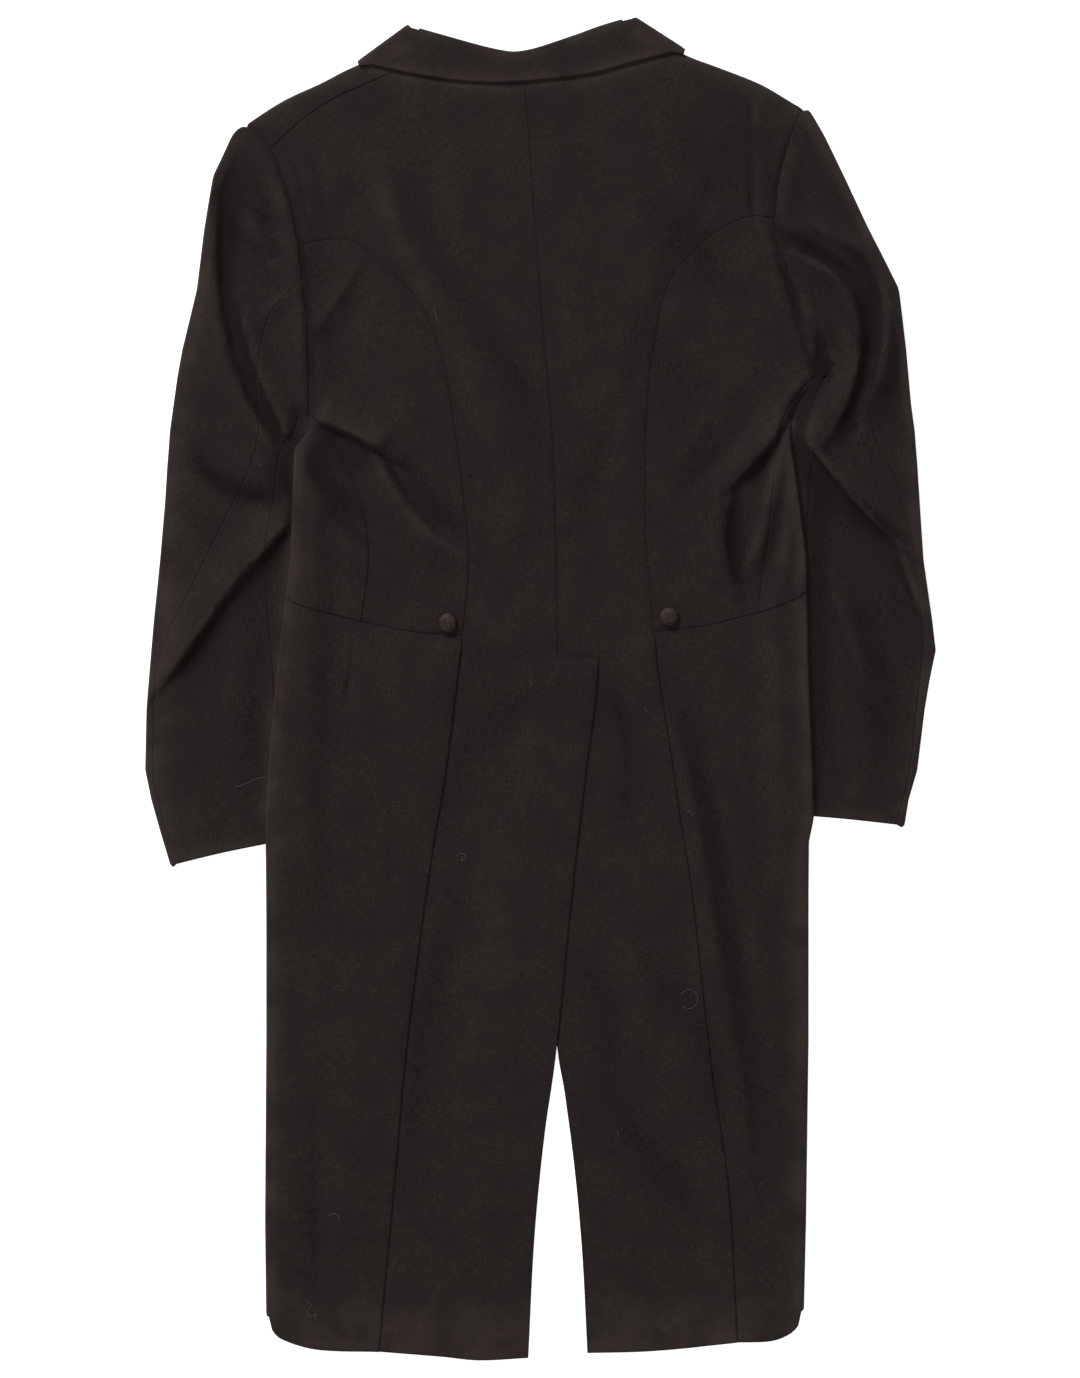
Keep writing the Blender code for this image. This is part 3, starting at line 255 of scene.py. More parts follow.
SKIRT_FRONT_RIGHT = ((108, 54), (132, -80), (152, -240), (166, -400), (174, -508))
SKIRT_HEM_LEFT = ((-222, -508), (-200, -512), (-180, -511))
SKIRT_HEM_RIGHT = ((213, -504), (192, -509), (174, -508))

# The collar: its fall lies on the back, its stand below the fall, its two ends go round the neck.
COLLAR_ROLL = ((-108, 537), (-88, 531), (-36, 517), (-12, 516), (24, 527), (49, 536), (76, 544))
COLLAR_EDGE = (
    (-149, 507), (-113, 499), (-79, 493), (-45, 490), (-11, 491), (40, 497), (81, 508), (118, 517),
)
COLLAR_STEP = 2.5  # from the back to the fall, middle to middle
COLLAR_END_REACH = 60.0  # how far each end is turned under, along the edge of the neck
STAND_SEAM = ((-98, 502), (-70, 501), (-13, 499), (24, 508), (60, 518), (66, 519))
COLLAR_END_LEFT = ((-149, 507), (-146, 474), (-98, 476), (-108, 537))
COLLAR_END_RIGHT = ((118, 517), (120, 480), (72, 486), (76, 544))

# Folds of the body's cloth, a row each. Columns: line of the crest, height, width on the left of
# that way and width on its right. A trough has a height below nought.
BODY_FOLDS = (
    # Left armpit: a deep pocket, its ridge towards the waist, and softer folds below it.
    (((-188, 222), (-160, 211), (-136, 199), (-122, 190)), 7.4, 14, 4),
    (((-138, 194), (-124, 168), (-107, 142), (-87, 121), (-60, 104)), 5.6, 5, 14),
    (((-127, 190), (-110, 160), (-93, 141), (-70, 125)), -2.0, 7, 6),
    (((-178, 177), (-161, 145), (-134, 118), (-104, 98)), 3.2, 13, 7),
    (((-182, 172), (-166, 150), (-152, 128), (-124, 108)), -1.2, 6, 6),
    (((-176, 140), (-160, 116), (-134, 96), (-104, 84)), 2.2, 12, 10),
    (((-186, 284), (-172, 306), (-156, 330), (-146, 350)), 1.8, 9, 5),
    (((-178, 268), (-160, 292), (-146, 318)), -1.1, 8, 8),
    # Left shoulder blade and centre.
    (((-200, 436), (-189, 408), (-184, 376)), 1.4, 7, 3),
    (((-182, 440), (-170, 410), (-168, 380)), 1.0, 8, 8),
    (((-126, 424), (-118, 368), (-96, 338), (-76, 306)), 2.0, 13, 12),
    (((-96, 440), (-88, 392), (-78, 356)), -0.9, 12, 12),
    (((-54, 372), (-45, 314), (-30, 278), (-12, 245), (-5, 205)), -1.2, 13, 11),
    (((-72, 330), (-60, 270), (-40, 220), (-28, 176)), 1.3, 14, 14),
    (((-45, 124), (-33, 92), (-18, 62)), -1.0, 10, 10),
    (((-34, 230), (-26, 160), (-34, 90)), 1.4, 16, 16),
    (((-112, 268), (-118, 240), (-100, 208)), 1.6, 16, 16),
    # Right armpit: the black fold towards the waist and the stripes that fan out below it.
    (((226, 250), (200, 220), (180, 194), (155, 166)), 7.4, 3.5, 15),
    (((155, 166), (149, 140), (148, 112), (156, 78)), 4.0, 5, 15),
    (((202, 203), (188, 168), (180, 132), (167, 94)), 4.2, 7, 6),
    (((190, 130), (181, 94), (175, 62)), -1.2, 5, 5),
    (((207, 196), (202, 140), (194, 82)), 2.8, 6, 6),
    (((178, 234), (154, 198), (113, 154)), -1.2, 7, 7),
    (((160, 246), (128, 208), (98, 172)), 1.7, 12, 12),
    (((176, 476), (172, 449), (175, 419), (176, 384), (182, 360)), 2.0, 9, 3),
    (((133, 364), (138, 330), (176, 313)), -1.1, 9, 9),
    (((94, 304), (136, 300), (163, 282)), 1.4, 13, 12),
    (((118, 404), (128, 386), (140, 372)), 1.1, 12, 12),
    (((120, 286), (136, 262), (168, 240)), 1.8, 16, 14),
    (((60, 440), (84, 400), (76, 330)), 1.5, 20, 20),
    (((46, 214), (45, 165), (58, 118)), -1.1, 12, 12),
    (((66, 236), (70, 172), (60, 98)), 1.6, 13, 15),
    # Tails.
    (((15, 22), (11, 10), (5, 0)), 0.6, 4, 3),
    (((-67, -55), (-43, -40), (-12, -26)), -1.0, 12, 12),
    (((-60, -150), (-76, -250), (-83, -370)), -1.0, 11, 11),
    (((-30, -60), (-34, -170), (-48, -270)), 1.8, 20, 20),
    (((-40, -380), (-58, -450), (-64, -530)), 1.4, 16, 16),
    (((-152, 40), (-154, 16), (-159, -12)), -0.9, 2, 2),
    (((-140, 10), (-156, -60), (-170, -150)), 1.4, 16, 16),
    (((-183, -300), (-182, -402), (-181, -505)), -0.9, 8, 6),
    (((-150, -250), (-158, -360), (-150, -470)), 1.2, 14, 14),
    (((112, -5), (138, -89), (153, -177), (161, -274), (175, -402)), -1.2, 9, 9),
    (((140, -60), (166, -160), (184, -270), (192, -380)), 2.0, 12, 14),
    (((68, -238), (42, -350), (90, -412), (148, -470)), -1.1, 12, 12),
    (((76, -90), (84, -200), (78, -320)), 2.0, 22, 22),
    (((60, -370), (76, -430), (72, -505)), 1.8, 20, 20),
)
# Folds of the sleeves, in the same columns.
SLEEVE_FOLDS = (
    # Left: the long trough down the upper arm, the one across the elbow, and the arm lying over
    # the forearm along a slanting edge.
    (((-258, 446), (-266, 390), (-265, 330), (-257, 280), (-244, 240), (-231, 213), (-217, 190)), 6.6, 5, 17),
    (((-258, 372), (-257, 324), (-249, 276), (-237, 241), (-224, 217), (-209, 190)), -1.6, 6, 5),
    (((-244, 318), (-236, 284), (-224, 250), (-210, 220), (-200, 192)), 5.4, 12, 4.5),
    (((-246, 394), (-226, 382), (-204, 372)), -1.1, 5, 6),
    (((-242, 362), (-222, 352), (-204, 348)), -1.1, 5, 6),
    (((-238, 384), (-224, 356), (-208, 334)), 2.0, 7, 7),
    (((-226, 300), (-212, 314), (-200, 322)), 1.4, 4, 6),
    (((-296, 216), (-281, 191), (-249, 171), (-222, 161), (-204, 164)), 4.6, 16, 8.5),
    (((-290, 180), (-276, 158), (-254, 138), (-234, 126)), 1.6, 8, 12),
    (((-186, 153), (-200, 140), (-226, 111), (-254, 79), (-280, 42), (-311, -2)), 6.6, 3, 20),
    (((-292, 80), (-296, 30), (-300, -20)), 1.6, 12, 12),
    (((-232, 60), (-246, 0), (-240, -70)), 1.6, 14, 14),
    (((-296, -40), (-284, -90), (-268, -126)), 1.8, 14, 14),
    # Right: the deep curved trough inside the elbow, the pocket beside it and the slanting edge.
    (((203, 352), (232, 337), (249, 316), (257, 290), (255, 262), (246, 232), (233, 206)), 7.0, 4.5, 13),
    (((232, 368), (262, 354), (278, 324), (280, 288), (273, 252), (259, 216)), 6.4, 13, 4.5),
    (((226, 302), (231, 283), (237, 262)), 2.4, 5, 6),
    (((220, 290), (229, 271), (227, 251), (214, 236)), -1.4, 5, 5),
    (((216, 312), (221, 290), (219, 268)), 1.6, 5, 6),
    (((196, 377), (224, 362), (258, 340)), 4.2, 12, 7),
    (((186, 233), (201, 216), (219, 196), (243, 166), (273, 133), (291, 116)), 6.6, 18, 3),
    (((289, 118), (303, 80), (317, 46)), 4.2, 12, 3),
    (((290, 200), (296, 160), (300, 120)), 1.4, 12, 12),
    (((234, 92), (253, 38), (264, 4), (283, -28)), 1.8, 8, 5),
    (((262, 60), (280, 20), (290, -12)), -1.0, 8, 8),
    (((262, -36), (258, -70), (254, -96)), 1.6, 12, 12),
    # The sleeve heads stand a little above the body along the armholes.
    (
        ((-242, 450), (-224, 430), (-215, 410), (-207, 386), (-201, 358), (-198, 330), (-194, 293),
         (-193, 256), (-193, 232)), 2.4, 3.5, 9,
    ),
    (
        ((215, 462), (205, 437), (198, 408), (195, 381), (198, 354), (209, 318), (217, 289),
         (228, 260)), 2.4, 9, 3.5,
    ),
)
# Painted shading of the cloth between and beside the folds, in the same columns: painted shade above nought, painted
# light below it.
BODY_PAINTED_SHADING = (
    (((-188, 212), (-162, 200), (-138, 187)), 3.4, 3, 15),
    (((-194, 192), (-165, 158), (-143, 127)), 1.6, 12, 12),
    (((-122, 196), (-93, 154), (-59, 120)), 1.3, 10, 5),
    (((-192, 420), (-186, 380), (-184, 318)), 0.7, 14, 12),
    (((-178, 300), (-170, 270), (-176, 244)), 0.7, 12, 10),
    (((-114, 409), (-66, 314), (-35, 270), (-4, 222), (6, 150)), 0.7, 14, 16),
    (((-136, 420), (-110, 350), (-70, 290)), -0.7, 8, 10),
    (((221, 247), (190, 206), (157, 166)), 2.2, 10, 3),
    (((153, 158), (151, 120), (157, 80)), 2.0, 12, 6),
    (((186, 158), (184, 122), (180, 86)), 1.2, 7, 7),
    (((170, 469), (170, 430), (171, 386)), 2.6, 2.5, 2.5),
    (((70, 404), (120, 360), (150, 310)), 0.6, 18, 18),
    (((202, 447), (196, 420), (190, 380), (194, 350), (205, 314), (213, 284), (222, 254)), 2.2, 2.5, 3.5),
    (((-205, 400), (-196, 358), (-192, 326), (-188, 288), (-187, 247), (-187, 222)), 1.6, 3.5, 2.5),
    (((100, 440), (150, 430), (200, 410)), 0.5, 24, 24),
    (((13, 26.9), (31, 26.2), (47, 25.6)), 1.5, 1.6, 1.8),
    (((70, 300), (110, 240), (130, 130)), 0.5, 24, 24),
    (((96, 6), (122, -64), (142, -182), (167, -314), (173, -406)), 1.3, 18, 4),
    (((91, -222), (132, -283), (142, -355)), 0.8, 14, 18),
    (((51, 4), (71, -49), (65, -120)), 1.0, 14, 10),
    (((14, -212), (51, -253), (60, -329), (91, -385), (150, -440)), 0.8, 14, 14),
    (((-82, -110), (-57, -49), (9, 7)), 0.5, 10, 14),
    (((-67, 36), (-30, 26), (20, 34)), 0.7, 10, 12),
    (((-67, -161), (-93, -253), (-113, -406)), 0.7, 12, 8),
    (((-160, 4), (-164, -60)), 0.5, 10, 10),
    (((-190, -400), (-186, -505)), 0.6, 10, 8),
    (((-228, -505), (-100, -520), (60, -520), (210, -508)), -1.5, 26, 26),
    (((206, -100), (211, -300), (209, -457)), -0.9, 12, 10),
    (((-228, -120), (-229, -300), (-226, -470)), -0.9, 14, 14),
    (((-20, -120), (-34, -240), (-60, -330)), -0.6, 14, 16),
)
SLEEVE_PAINTED_SHADING = (
    (((-254, 430), (-257, 380), (-255, 318), (-239, 250), (-219, 216), (-204, 190)), 3.0, 12, 4),
    (((-240, 430), (-226, 380), (-220, 330)), 0.9, 12, 14),
    (((-287, 204), (-270, 180), (-246, 160), (-210, 160)), 1.7, 14, 6),
    (((-216, 196), (-206, 170), (-204, 146)), 1.6, 10, 12),
    (((-199, 136), (-254, 70), (-306, 0)), 1.6, 16, 2),
    (((-214, 90), (-232, 0), (-226, -110)), 0.8, 10, 20),
    (((-300, 170), (-308, 60), (-310, -60), (-298, -130)), -1.2, 16, 10),
    (((-286, 330), (-292, 260), (-296, 200)), -1.2, 14, 10),
    (((193, 376), (229, 352), (251, 318)), 1.6, 10, 14),
    (((191, 388), (191, 372), (196, 345), (206, 312), (214, 286)), 1.8, 5, 4),
    (((222, 440), (262, 380), (288, 280), (292, 180)), 0.9, 20, 30),
    (((262, 170), (284, 60), (288, -60)), 0.5, 24, 24),
    (((258, 320), (265, 262), (254, 227), (234, 193)), 2.8, 7, 8),
    (((290, 316), (284, 262), (268, 232)), 1.1, 8, 8),
    (((225, 290), (227, 268), (222, 246)), 2.6, 7, 7),
    (((204, 209), (251, 158), (301, 115)), 2.0, 2, 17),
    (((218, 190), (222, 60), (220, -110)), 1.6, 13, 13),
    (((250, 90), (268, 20), (276, -60)), 0.8, 12, 12),
)
DRAPE_HEIGHT = 0.5  # soft unevenness between the folds
DRAPE_LENGTHS = (34.0, 95.0)  # its size across and along the coat
HOLLOW_REACH = 5.0  # painted shade is set by how far a place lies below the cloth this far round it

BUTTON_CENTRES = {"left": (-75, 53), "right": (104, 58)}
BUTTON_WIDTHS = {"left": (7.3, 8.0), "right": (7.7, 7.6)}
BUTTON_HEIGHT = 4.8
BUTTON_RIM = 1.2
BUTTON_GAP = 0.3
BUTTON_SIDES = 56
BUTTON_ROWS = 12
GATHERS = 17  # small pleats of the cover at its rim

# Loose pale fibres on the cloth, a row each. Columns: the layer it lies on, then its line.
LINT = (
    ("back_left", ((-87, 308), (-85, 303), (-83.5, 297))),
    ("back_left", ((-36, 217), (-35.4, 215.6))),
    ("back_left", ((-9, 6), (-7, 4.5), (-7.4, 2))),
    ("back_left", ((-68, -136), (-65, -133.5), (-61, -135), (-61, -138.5), (-64, -139), (-63, -136))),
    ("back_left", ((-59, -168), (-59.6, -174))),
    ("back_right", ((81, 379.6), (82, 378.4))),
    ("back_right", ((84, -15), (86, -17.5), (85, -19.5))),
    ("back_right", ((142, 217), (143, 213.5))),
    ("back_right", ((114, -247), (120, -243.5), (126, -247), (127, -254), (121, -259), (114, -257))),
    ("back_right", ((62, -358), (63.4, -363))),
    ("skirt_right", ((118, -101), (121, -99), (122.5, -102.5), (125, -100))),
    ("skirt_right", ((163, -329), (165, -330))),
    ("skirt_left", ((-190, -495), (-185, -499), (-189, -504), (-185, -508), (-182, -505.5), (-182, -511))),
    ("skirt_left", ((-172, -427), (-167, -424.5), (-163, -427), (-162, -431))),
    ("sleeve", ((-247, -80), (-238, -77), (-230, -73), (-220, -71.5))),
    ("sleeve", ((-228, 182), (-226, 180))),
)
LINT_RADIUS = 0.22
# Rows of hand stitches. Columns: the layer, the line, length of a stitch, from one to the next.
STITCHES = (
    ("back_left", ((15.6, 25.6), (31, 24.9), (46, 24.4)), 1.6, 2.8),
    ("back_right", ((150.5, -398), (153.5, -450), (156.6, -522)), 2.2, 8.5),
    ("skirt_right", ((162, -524), (184, -523.5), (199, -518)), 1.8, 7.0),
)
STITCH_RADIUS = 0.16

CAMERA_HEIGHT = 3.4
VIEW_LONG_SIDE = 1378 * 0.81 * MM  # what the picture spans along the coat


def ramp(value):
    """0 below nought and 1 above one, with a soft rise between."""
    t = np.clip(value, 0.0, 1.0)
    return t * t * (3.0 - 2.0 * t)


def curve(points, step=SEAM_STEP):
    """A smooth line through the points, as points about a step apart."""
    points = np.array(points, float)
    ends = 2 * points[[0, -1]] - points[[1, -2]]
    knots = np.vstack([ends[:1], points, ends[1:]])
    fine = []
    for before, start, end, after in zip(knots, knots[1:], knots[2:], knots[3:]):
        for t in np.arange(0.0, 1.0, 0.04):
            fine.append(
                0.5 * (2 * start + (end - before) * t
                       + (2 * before - 5 * start + 4 * end - after) * t**2
                       + (3 * start - before - 3 * end + after) * t**3)
            )
    fine = np.vstack(fine + [points[-1]])
    along = np.concatenate([[0.0], np.cumsum(np.linalg.norm(np.diff(fine, axis=0), axis=1))])
    pieces = max(1, round(along[-1] / step))
    at = np.linspace(0.0, along[-1], pieces + 1)
    return np.column_stack([np.interp(at, along, fine[:, 0]), np.interp(at, along, fine[:, 1])])


def chain(*lines):
    """Lines that follow each other, as one run of points with no point twice."""
    run = [np.atleast_2d(lines[0])]
    for line in lines[1:]:
        line = np.atleast_2d(line)
        same = np.linalg.norm(run[-1][-1] - line[0]) < 0.5
        run.append(line[1:] if same else line)
    points = np.vstack(run)
    return points[:-1] if np.linalg.norm(points[0] - points[-1]) < 0.5 else points


def inset(outline, amount):
    """A closed outline drawn in by an amount, its points running counter-clockwise."""
    following = np.roll(outline, -1, axis=0)
    area = (outline[:, 0] * following[:, 1] - following[:, 0] * outline[:, 1]).sum()
    if area < 0:
        outline = outline[::-1]
    run_out = np.roll(outline, -1, axis=0) - outline
    run_out /= np.linalg.norm(run_out, axis=1)[:, None]
    run_in = np.roll(run_out, 1, axis=0)
    inward = np.column_stack([-(run_in + run_out)[:, 1], (run_in + run_out)[:, 0]])
    inward /= np.maximum(np.linalg.norm(inward, axis=1)[:, None], 0.1)
    corner = np.column_stack([-run_out[:, 1], run_out[:, 0]])
    spread = np.clip((inward * corner).sum(axis=1), 0.4, 1.0)
    return outline + inward * (amount / spread)[:, None]


def edge_line(sections, column, inward):
    """The fold line inside one edge of a table of sections: the edge's place at each height."""
    heights = np.array([row[0] for row in sections], float)[::-1]
    places = np.array([row[column] for row in sections], float)[::-1] + inward * EDGE_INSET
    return lambda up: np.interp(up, heights, places)


BODY_LEFT = edge_line(BODY_SECTIONS, 1, 1)
BODY_RIGHT = edge_line(BODY_SECTIONS, 2, -1)
SLEEVE_LEFT_OUT = edge_line(SLEEVE_SECTIONS, 1, 1)
SLEEVE_LEFT_IN = edge_line(SLEEVE_SECTIONS, 2, -1)
SLEEVE_RIGHT_OUT = edge_line(SLEEVE_SECTIONS, 3, -1)
SLEEVE_RIGHT_IN = edge_line(SLEEVE_SECTIONS, 4, 1)


class SideTurn:
    """A turned edge that runs up the coat. Outward is -1 to the left and 1 to the right."""

    def __init__(self, line, outward, other, top=OVER_ALL):
        self.line = line
        self.outward = np.array([outward, 0.0])
        self.other = other
        self.top = top
        self.arc = math.pi * TURN_RADIUS

    def foot(self, points):
        return np.column_stack([self.line(points[:, 1]), points[:, 1]])

    def reached(self, points):
        return points[:, 1] < self.top

    def past(self, points):
        """How far each point of the flat sheet is past the fold."""
        beyond = (points - self.foot(points)) @ self.outward
        return np.where(self.reached(points), beyond, -OVER_ALL)

    def unfold(self, points):
        """Points seen on the layer past the turn, on the flat sheet."""
        points = np.atleast_2d(points)
        inside = (self.foot(points) - points) @ self.outward
        return self.foot(points) + np.outer(self.arc + inside, self.outward)

    def cut(self, line):
        """The part of a line inside the turn, with the point where it comes to the fold."""
        past = self.past(line)
        if past[0] < past[-1]:
            return self.cut(line[::-1])[::-1]
        first = np.argmax(past < -FOLD_MARGIN)
        return np.vstack([self.foot(line[:1]), line[first:]])

    def rows(self, low, high):
        """Lines of points along the fold and round the turn, between two heights."""
        ups = np.linspace(low, high, max(2, round((high - low) / SEAM_STEP)))
        return self.beside(self.foot(np.column_stack([ups, ups])))

    def beside(self, foot):
        shares = np.linspace(0.0, self.arc, TURN_ROWS + 1)
        return [foot + share * self.outward for share in shares]


class TopTurn(SideTurn):
    """A turned edge that runs across the coat, its outward way towards the collar."""

    def __init__(self, points, other, radius=TURN_RADIUS):
        fine = curve(points, 4.0)
        fine = fine[np.argsort(fine[:, 0])]
        folded = fine[:, 1] - radius - HALF_CLOTH
        self.line = lambda across: np.interp(across, fine[:, 0], folded)
        self.outward = np.array([0.0, 1.0])
        self.other = other
        self.arc = math.pi * radius
        self.low, self.high = fine[0, 0], fine[-1, 0]

    def foot(self, points):
        return np.column_stack([points[:, 0], self.line(points[:, 0])])

    def reached(self, points):
        return (points[:, 0] > self.low) & (points[:, 0] < self.high)

    def rows(self, low, high):
        across = np.linspace(low, high, max(2, round((high - low) / SEAM_STEP)))
        return self.beside(self.foot(np.column_stack([across, across])))


class StraightTurn(SideTurn):
    """A turned edge along a straight line, with its outward way square to it."""

    def __init__(self, start, end, inside, other, radius, drawn_in=0.0, before=0.0, after=0.0):
        start = np.array(start, float)
        run = np.array(end, float) - start
        length = np.linalg.norm(run)
        self.way = run / length
        square = np.array([-self.way[1], self.way[0]])
        if (np.array(inside, float) - start) @ square > 0:
            square = -square
        self.start = start - square * drawn_in
        self.low, self.high = -before, length + after
        self.outward = square
        self.other = other
        self.arc = math.pi * radius

    def foot(self, points):
        return points - np.outer((points - self.start) @ self.outward, self.outward)

    def reached(self, points):
        along = (points - self.start) @ self.way
        return (along > self.low) & (along < self.high)

    def rows(self, low, high):
        along = np.linspace(low, high, max(2, round((high - low) / SEAM_STEP)))
        return self.beside(self.start + np.outer(along, self.way))


# Height of each layer's middle over the surface, at places seen from above.

LEFT_TAIL_FRONT = curve(SKIRT_FRONT_LEFT, 10.0)
RIGHT_TAIL_FRONT = curve(SKIRT_FRONT_RIGHT, 10.0)
RIGHT_TAIL_EDGE = curve(VENT_INNER)
LEFT_PLEAT_LINE = curve(PLEAT_LEFT)
RIGHT_PLEAT_LINE = curve(PLEAT_RIGHT)


def across_at(line, up):
    return np.interp(up, line[::-1, 1], line[::-1, 0])


def lift(at):
    """How much the body is raised over the sleeves, whose inner edges lie under it."""
    x, y = at[:, 0], at[:, 1]
    raised = []
    inward = (x - SLEEVE_LEFT_IN(y), SLEEVE_RIGHT_IN(y) - x)
    for inside, ends in zip(inward, (LIFT_ENDS_LEFT, LIFT_ENDS_RIGHT)):
        over = ramp((LIFT_RUN + LIFT_START - inside) / LIFT_RUN)
        foot = ramp((y - ends[0]) / LIFT_FOOT_RUN)
        raised.append(over * foot * ramp((ends[1] - y) / LIFT_RUN))
    return LIFT * np.where(x < 0, raised[0], raised[1])


def lapel_room(at):
    """The fronts lie this much higher where the lapels and collar ends are turned back under them."""
    x, y = at[:, 0], at[:, 1]
    left = across_at(curve(LAPEL_LEFT[:4])[::-1], y) - LAPEL_MARGIN
    right = across_at(curve(LAPEL_RIGHT[:4])[::-1], y) + LAPEL_MARGIN
    wide = ramp((x - left + ROLL_ROOM) / ROLL_ROOM) * ramp((right + ROLL_ROOM - x) / ROLL_ROOM)
    lapels = wide * ramp((y - LAPEL_FOOT) / ROLL_ROOM) * (y < LAPEL_TOP)
    low, neck_left, neck_right = NECK_ROOM
    neck = ramp((x - neck_left) / NECK_RUN) * ramp((neck_right - x) / NECK_RUN)
    return OVERLAP_STEP * np.maximum(lapels, neck * ramp((y - low) / NECK_RUN))


def surface_layer(at):
    return np.full(len(at), HALF_CLOTH)


def under_layer(at):
    return HALF_CLOTH + np.maximum(lift(at), lapel_room(at))


def covered(at):
    """1 where a front or a folded-under tail lies below the back, and 0 where nothing does."""
    x, y = at[:, 0], at[:, 1]
    fronts = ramp((y - FRONT_ENDS[0]) / (FRONT_ENDS[1] - FRONT_ENDS[0]))
    reach = COVER_RUN + COVER_START
    left = ramp((across_at(LEFT_TAIL_FRONT, y) + reach - x) / COVER_RUN)
    right = ramp((x + reach - across_at(RIGHT_TAIL_FRONT, y)) / COVER_RUN)
    return np.maximum.reduce([fronts, left, right])


@lru_cache(maxsize=None)
def fold_line(crest):
    return curve(crest, 4.0)


def fold_height(at, folds):
    """The height of the folds at each place: each is a ridge along a bent line, lower at its ends."""
    total = np.zeros(len(at))
    for crest, height, left_width, right_width in folds:
        line = fold_line(crest)
        reach = 2.8 * max(left_width, right_width)
        near = ((at > line.min(axis=0) - reach) & (at < line.max(axis=0) + reach)).all(axis=1)
        spots = at[near]
        if not len(spots):
            continue
        run = np.diff(line, axis=0)
        length = np.linalg.norm(run, axis=1)
        starts = np.concatenate([[0.0], np.cumsum(length)])
        nearest, side, along_line = np.full(len(spots), 1e9), np.zeros(len(spots)), np.zeros(len(spots))
        for first, way, size, start in zip(line, run / length[:, None], length, starts):
            from_first = spots - first
            along = from_first @ way
            off = way[0] * from_first[:, 1] - way[1] * from_first[:, 0]
            past_end = np.maximum(0.0, np.maximum(-along, along - size))
            distance = np.hypot(off, past_end)
            closer = distance < nearest
            nearest = np.where(closer, distance, nearest)
            side = np.where(closer, off, side)
            along_line = np.where(closer, start + np.clip(along, 0.0, size), along_line)
        width = np.where(side > 0, left_width, right_width)
        ends = ramp(np.minimum(along_line, starts[-1] - along_line) / (FOLD_END * starts[-1]))
        total[near] += height * (END_SHARE + (1 - END_SHARE) * ends) * np.exp(-((nearest / width) ** 2))
    return total


def drape(at):
    """The soft unevenness of the cloth between its folds."""
    across, along = DRAPE_LENGTHS
    return np.array([
        noise.noise((x / across, y / along, 0.0)) + 0.5 * noise.noise((x / 15.0, y / 26.0, 7.0))
        for x, y in at
    ]) * DRAPE_HEIGHT


def clear_of_edges(at):
    """0 at the body's turned edges and 1 a little way in, so that folds die out there."""
    x, y = at[:, 0], at[:, 1]
    left = ramp((x - BODY_LEFT(y) + 1.0) / EDGE_RUN)
    right = ramp((BODY_RIGHT(y) - x + 1.0) / EDGE_RUN)
    return np.maximum(left * right, joined(at))


def joined(at):
    """1 where sleeve and body meet at the armhole, and 0 below it."""
    low = np.where(at[:, 0] < 0, ARMPIT_LEFT, ARMPIT_RIGHT)
    return ramp((at[:, 1] - low) / ARMPIT_RUN)


def back_layer(at):
    folds = (fold_height(at, BODY_FOLDS) + drape(at)) * clear_of_edges(at)
    folds += fold_height(at, SLEEVE_FOLDS) * joined(at)
    return under_layer(at) + LAYER_STEP * covered(at) + folds


def left_back_layer(at):
    """The left back rises near the vent, where its edge lies over the right tail."""
    x, y = at[:, 0], at[:, 1]
    over = ramp((x - across_at(RIGHT_TAIL_EDGE, y)) / LAP_RUN + 1.2)
    return back_layer(at) + LAP_STEP * over * ramp((LAP_TOP - y) / LAP_RUN)


def left_skirt_layer(at):
    """The left skirt rises to its pleat edge, which lies over the back."""
    x, y = at[:, 0], at[:, 1]
    over = ramp((x - across_at(LEFT_PLEAT_LINE, y) + PLEAT_LAP) / LAP_RUN + 1.1)
    return back_layer(at) + LAP_STEP * over * ramp((PLEAT_LEFT[0][1] - y) / PLEAT_LAP)


def right_back_layer(at):
    """The right back rises to its pleat edge, which lies over the skirt."""
    x, y = at[:, 0], at[:, 1]
    over = ramp((x - across_at(RIGHT_PLEAT_LINE, y) + PLEAT_LAP) / LAP_RUN + 1.1)
    return back_layer(at) + LAP_STEP * over * ramp((PLEAT_RIGHT[0][1] - y) / PLEAT_LAP)


def sleeve_layer(at):
    """The side of the sleeves that shows. Its folds die out where it goes in under the body."""
    x, y = at[:, 0], at[:, 1]
    from_body = np.where(x < 0, SLEEVE_LEFT_IN(y) - x, x - SLEEVE_RIGHT_IN(y))
    clear = np.maximum(ramp((from_body - TUCK) / TUCK_RUN), joined(at))
    folds = (fold_height(at, SLEEVE_FOLDS) + drape(at)) * clear
    folds += fold_height(at, BODY_FOLDS) * joined(at)
    return HALF_CLOTH + LAYER_STEP + folds


def collar_layer(at):
    return HALF_CLOTH + OVERLAP_STEP + LAYER_STEP + COLLAR_STEP + 0.0 * at[:, 0]


def stand_layer(at):
    return collar_layer(at) - COLLAR_STEP


def laid(points, layer, turns):
    """Points of a flat sheet laid out in space: on the layer, or round a turn and on past it."""
    places = points.copy()
    heights = layer(points)
    for turn in turns:
        past = turn.past(points)
        chosen = past > 0
        if not chosen.any():
            continue
        foot = turn.foot(points[chosen])
        near = layer(foot)
        far = turn.other(foot)
        angle = math.pi * np.minimum(past[chosen] / turn.arc, 1.0)
        back = np.maximum(past[chosen] - turn.arc, 0.0)
        place = foot + np.outer(turn.arc / math.pi * np.sin(angle) - back, turn.outward)
        bend = (near + far) / 2 - (far - near) / 2 * np.cos(angle)
        places[chosen] = place
        heights[chosen] = bend + (turn.other(place) - far) * (back > 0)
    return np.column_stack([places, heights])


